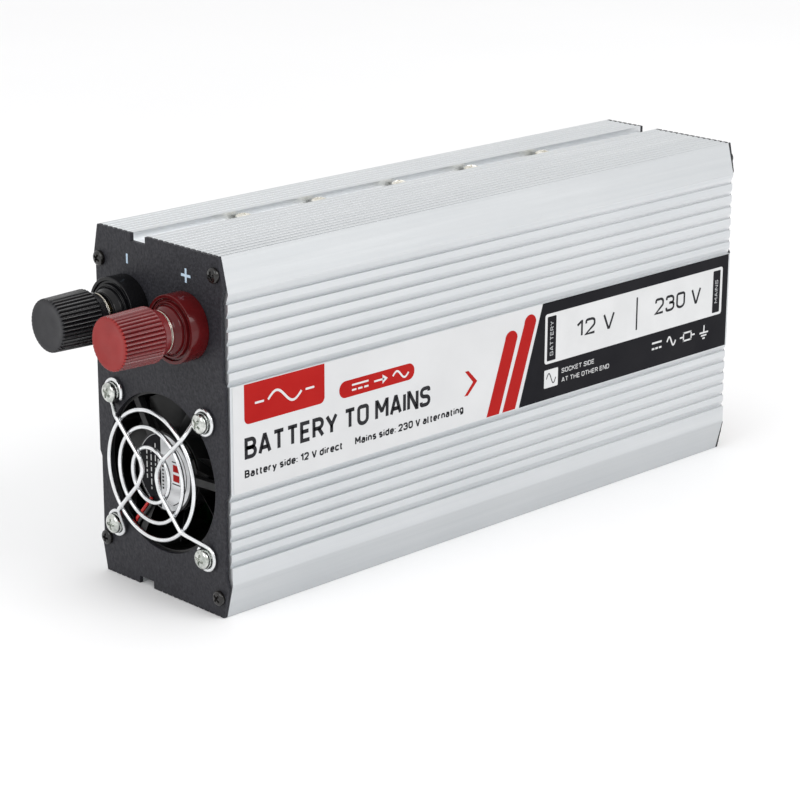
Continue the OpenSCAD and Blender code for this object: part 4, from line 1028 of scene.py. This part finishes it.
for s, m_, nm in ((6, lamp_g, "lamp_green_lens"), (-6, lamp_r, "lamp_red_lens")):
    dome = [(end_x + 0.3 + 1.75 * sin(rad(a)), 1.5 * cos(rad(a))) for a in range(0, 90, 10)] + [(end_x + 2.05, 0.0)]
    v, f = xprof([(end_x - 7, 0.0), (end_x - 7, 1.8), (end_x - 1.8, 1.85), (end_x - 1.6, 1.55)] + [tuple(p) for p in dome], s, 57)
    finish_mesh(nm, v, f, CASE, m_, 50, replaces=["status_lamps"] if s > 0 else ())
    pr = [(end_x - 0.02, 1.56), (end_x - 0.02, 2.5), (end_x + 0.7, 2.35), (end_x + 0.8, 1.56)]
    v, f = revolve([tuple(p) for p in rounded(pr, 0.2, 3, closed=True)], 48, on_x(s, 57), closed=True)
    finish_mesh(nm.replace("lens", "bezel"), v, f, CASE, zinc, 50)

lo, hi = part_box("earth_stud")
ey, ez = (lo.y + hi.y) / 2 / MM, (lo.z + hi.z) / 2 / MM
x0, x1 = lo.x / MM, hi.x / MM
k = int((x1 - x0) / 0.175)
prof = [(x0, 0.0), (x0, 1.6)] + [(x0 + 0.2 + i * 0.175, 1.98) for i in range(k - 2)] + [(x1, 1.5), (x1, 0.0)]


def thread4(a, r, ph):
    if r < 1.9:
        return a, r
    t = (a / 0.7 - ph / (2 * pi)) % 1.0
    return a, 1.98 - 0.3 * (1 - abs(2 * t - 1))


v, f = revolve(prof, 32, on_x(ey, ez), thread4)
finish_mesh("earth_stud_threaded", v, f, CASE, brass, 60, replaces=["earth_stud"])

# ------------------------------------------------------------------ inside
paint(["heat_bar_top", "heat_bar_bottom"], bar_alu)
soften(["heat_bar_top", "heat_bar_bottom"], 0.3, 2, 30)
soften("thermal_pads", 0.1, 2, 30, pads)
soften(["transistors_top", "transistors_bottom"], 0.18, 2, 30, epoxy)
soften("transformer_cores", 0.6, 3, 30, ferrite)
soften("transformer_windings", 1.4, 3, 30, tape)
soften(["input_capacitors", "output_capacitors"], 0.5, 3, 30, sleeve)
soften("filter_core", 0.8, 3, 30, core_pow)
soften("filter_winding", 0.5, 3, 30, copper)
soften("main_board", 0.2, 2, 30, pcb)
soften("control_board", 0.2, 2, 30, pcb)
soften("blade_fuses", 0.5, 3, 30, fuse_pl)


def wire_piece(name, pts, r, mat, replaces=(), bend=4.0):
    path = resample(rounded(pts, bend, 8), 2.0)
    v, f = sweep(path, r, 16)
    finish_mesh(name, v, f, CASE, mat, 60, replaces=replaces)


oz, sz = 86.0, 34.0
b1 = 107.25
wire_piece("wire_live", [(end_x - 24.1, -8, oz + 6), (end_x - 27, -8, oz + 6), (b1 - 4, -6, oz + 8), (b1 - 4, 21.9, oz + 8)], 1.1, brown_ins, ["ac_wires"])
wire_piece("wire_neutral", [(end_x - 24.1, 8, oz + 6), (end_x - 27, 8, oz + 6), (end_x - 28, 10, oz - 16), (b1 - 4, 12, oz - 16), (b1 - 4, 21.9, oz - 16)], 1.1, blue_ins, bend=2.0)
wire_piece("wire_earth", [(end_x - 24.1, 0, oz - 9), (end_x - 30, 0, oz - 9), (end_x - 28, -16, 16), (end_x - 9.6, -16, 16)], 1.1, gy)
wire_piece("wire_switch_a", [(end_x - 21.5, 0, sz + 5), (end_x - 25, 0, sz + 5), (b1 - 4, 6, sz + 8), (b1 - 4, 21.9, sz + 8)], 0.9, black_ins)
wire_piece("wire_switch_b", [(end_x - 21.5, 0, sz - 5), (end_x - 25, 0, sz - 5), (b1 - 4, 6, sz - 8), (b1 - 4, 21.9, sz - 8)], 0.9, red_ins)
for tag_, y, x1, z1, m_ in (("red", red_y, -98.2, 104.7, red_ins), ("black", black_y, -98.5, 98.0, black_ins)):
    xr = plate_x + 1.5 + 11.1
    wire_piece(tag_ + "_battery_cable", [(xr + 1.7, y, term_z + 10.8), (xr + 8, y, term_z + 10.8), (x1, 12, z1), (x1, 21.9, z1)], 1.9, m_, [tag_ + "_dc_cable"], 3.0)
    eye = [(y + 3.4 * a, term_z + b) for a, b in ((1, 13.4), (-1, 13.4), (-1, 6.6))]
    n = 40
    a0 = math.acos(3.4 / 7.5)
    arc = [(y + 7.5 * cos(pi - a0 + (pi + 2 * a0) * i / n), term_z + 7.5 * sin(pi - a0 + (pi + 2 * a0) * i / n)) for i in range(n + 1)]
    outer = eye[:2] + arc
    hole = [(y + 4.05 * cos(2 * pi * i / 40), term_z + 4.05 * sin(2 * pi * i / 40)) for i in range(40)]
    bm = bmesh.new()
    vo = [bm.verts.new((xr, p[0], p[1])) for p in outer]
    vh = [bm.verts.new((xr, p[0], p[1])) for p in hole]
    eds = [bm.edges.new((vo[i], vo[(i + 1) % len(vo)])) for i in range(len(vo))]
    eds += [bm.edges.new((vh[i], vh[(i + 1) % 40])) for i in range(40)]
    bmesh.ops.triangle_fill(bm, edges=eds, use_beauty=True)
    bm.verts.ensure_lookup_table()
    bm.verts.index_update()
    vs = [tuple(q.co) for q in bm.verts]
    fs = [tuple(q.index for q in fc.verts) for fc in bm.faces]
    bm.free()
    n = len(vs)
    allv = vs + [(p[0] + 1.6, p[1], p[2]) for p in vs]
    allf = fs + [tuple(n + i for i in reversed(q)) for q in fs]
    cnt = {}
    for q in fs:
        for a, b in zip(q, q[1:] + q[:1]):
            cnt[frozenset((a, b))] = cnt.get(frozenset((a, b)), 0) + 1
    for q in fs:
        for a, b in zip(q, q[1:] + q[:1]):
            if cnt[frozenset((a, b))] == 1:
                allf.append((b, a, a + n, b + n))
    finish_mesh(tag_ + "_cable_lug", allv, allf, CASE, tin, 40)

# ------------------------------------------------------------------ floor and light
bm = bmesh.new()
bmesh.ops.create_grid(bm, x_segments=1, y_segments=1, size=12.0)
me = bpy.data.meshes.new("floor")
bm.to_mesh(me)
bm.free()
floor = bpy.data.objects.new("floor", me)
floor.location.z = -0.0001
SC.collection.objects.link(floor)
fm = Mat("pale_floor", spec=0.2)
fm.color(fm.mix(fm.range(fm.noise(400), 0.3, 0.7), (0.908, 0.908, 0.912), (0.924, 0.924, 0.928)))
fm.rough(fm.range(fm.noise(200), 0.3, 0.7, 0.6, 0.7))
me.materials.append(fm.m)

world = bpy.data.worlds.new("studio")
SC.world = world
world.use_nodes = True
wt = world.node_tree
bg = wt.nodes["Background"]
tc = wt.nodes.new("ShaderNodeTexCoord")
sp = wt.nodes.new("ShaderNodeSeparateXYZ")
wt.links.new(tc.outputs["Generated"], sp.inputs[0])
mr = wt.nodes.new("ShaderNodeMapRange")
for k_, x_ in zip(("From Min", "From Max", "To Min", "To Max"), (-0.2, 1.0, 0.86, 1.05)):
    mr.inputs[k_].default_value = x_
wt.links.new(sp.outputs["Z"], mr.inputs["Value"])
wt.links.new(mr.outputs[0], bg.inputs["Strength"])
bg.inputs["Color"].default_value = (1, 1, 1, 1)


def area(name, loc, target, size, power):
    ld = bpy.data.lights.new(name, "AREA")
    ld.shape = "RECTANGLE"
    ld.size, ld.size_y = size
    ld.energy = power
    o = bpy.data.objects.new(name, ld)
    o.location = loc
    o.rotation_mode = "QUATERNION"
    o.rotation_quaternion = (Vector(target) - Vector(loc)).to_track_quat("-Z", "Y")
    SC.collection.objects.link(o)


area("key", (0.35, -1.25, 1.15), (0, 0, 0.06), (1.2, 0.8), 9.0)
area("end_fill", (-1.3, -0.1, 0.75), (-0.1, 0, 0.07), (0.7, 0.7), 3.5)
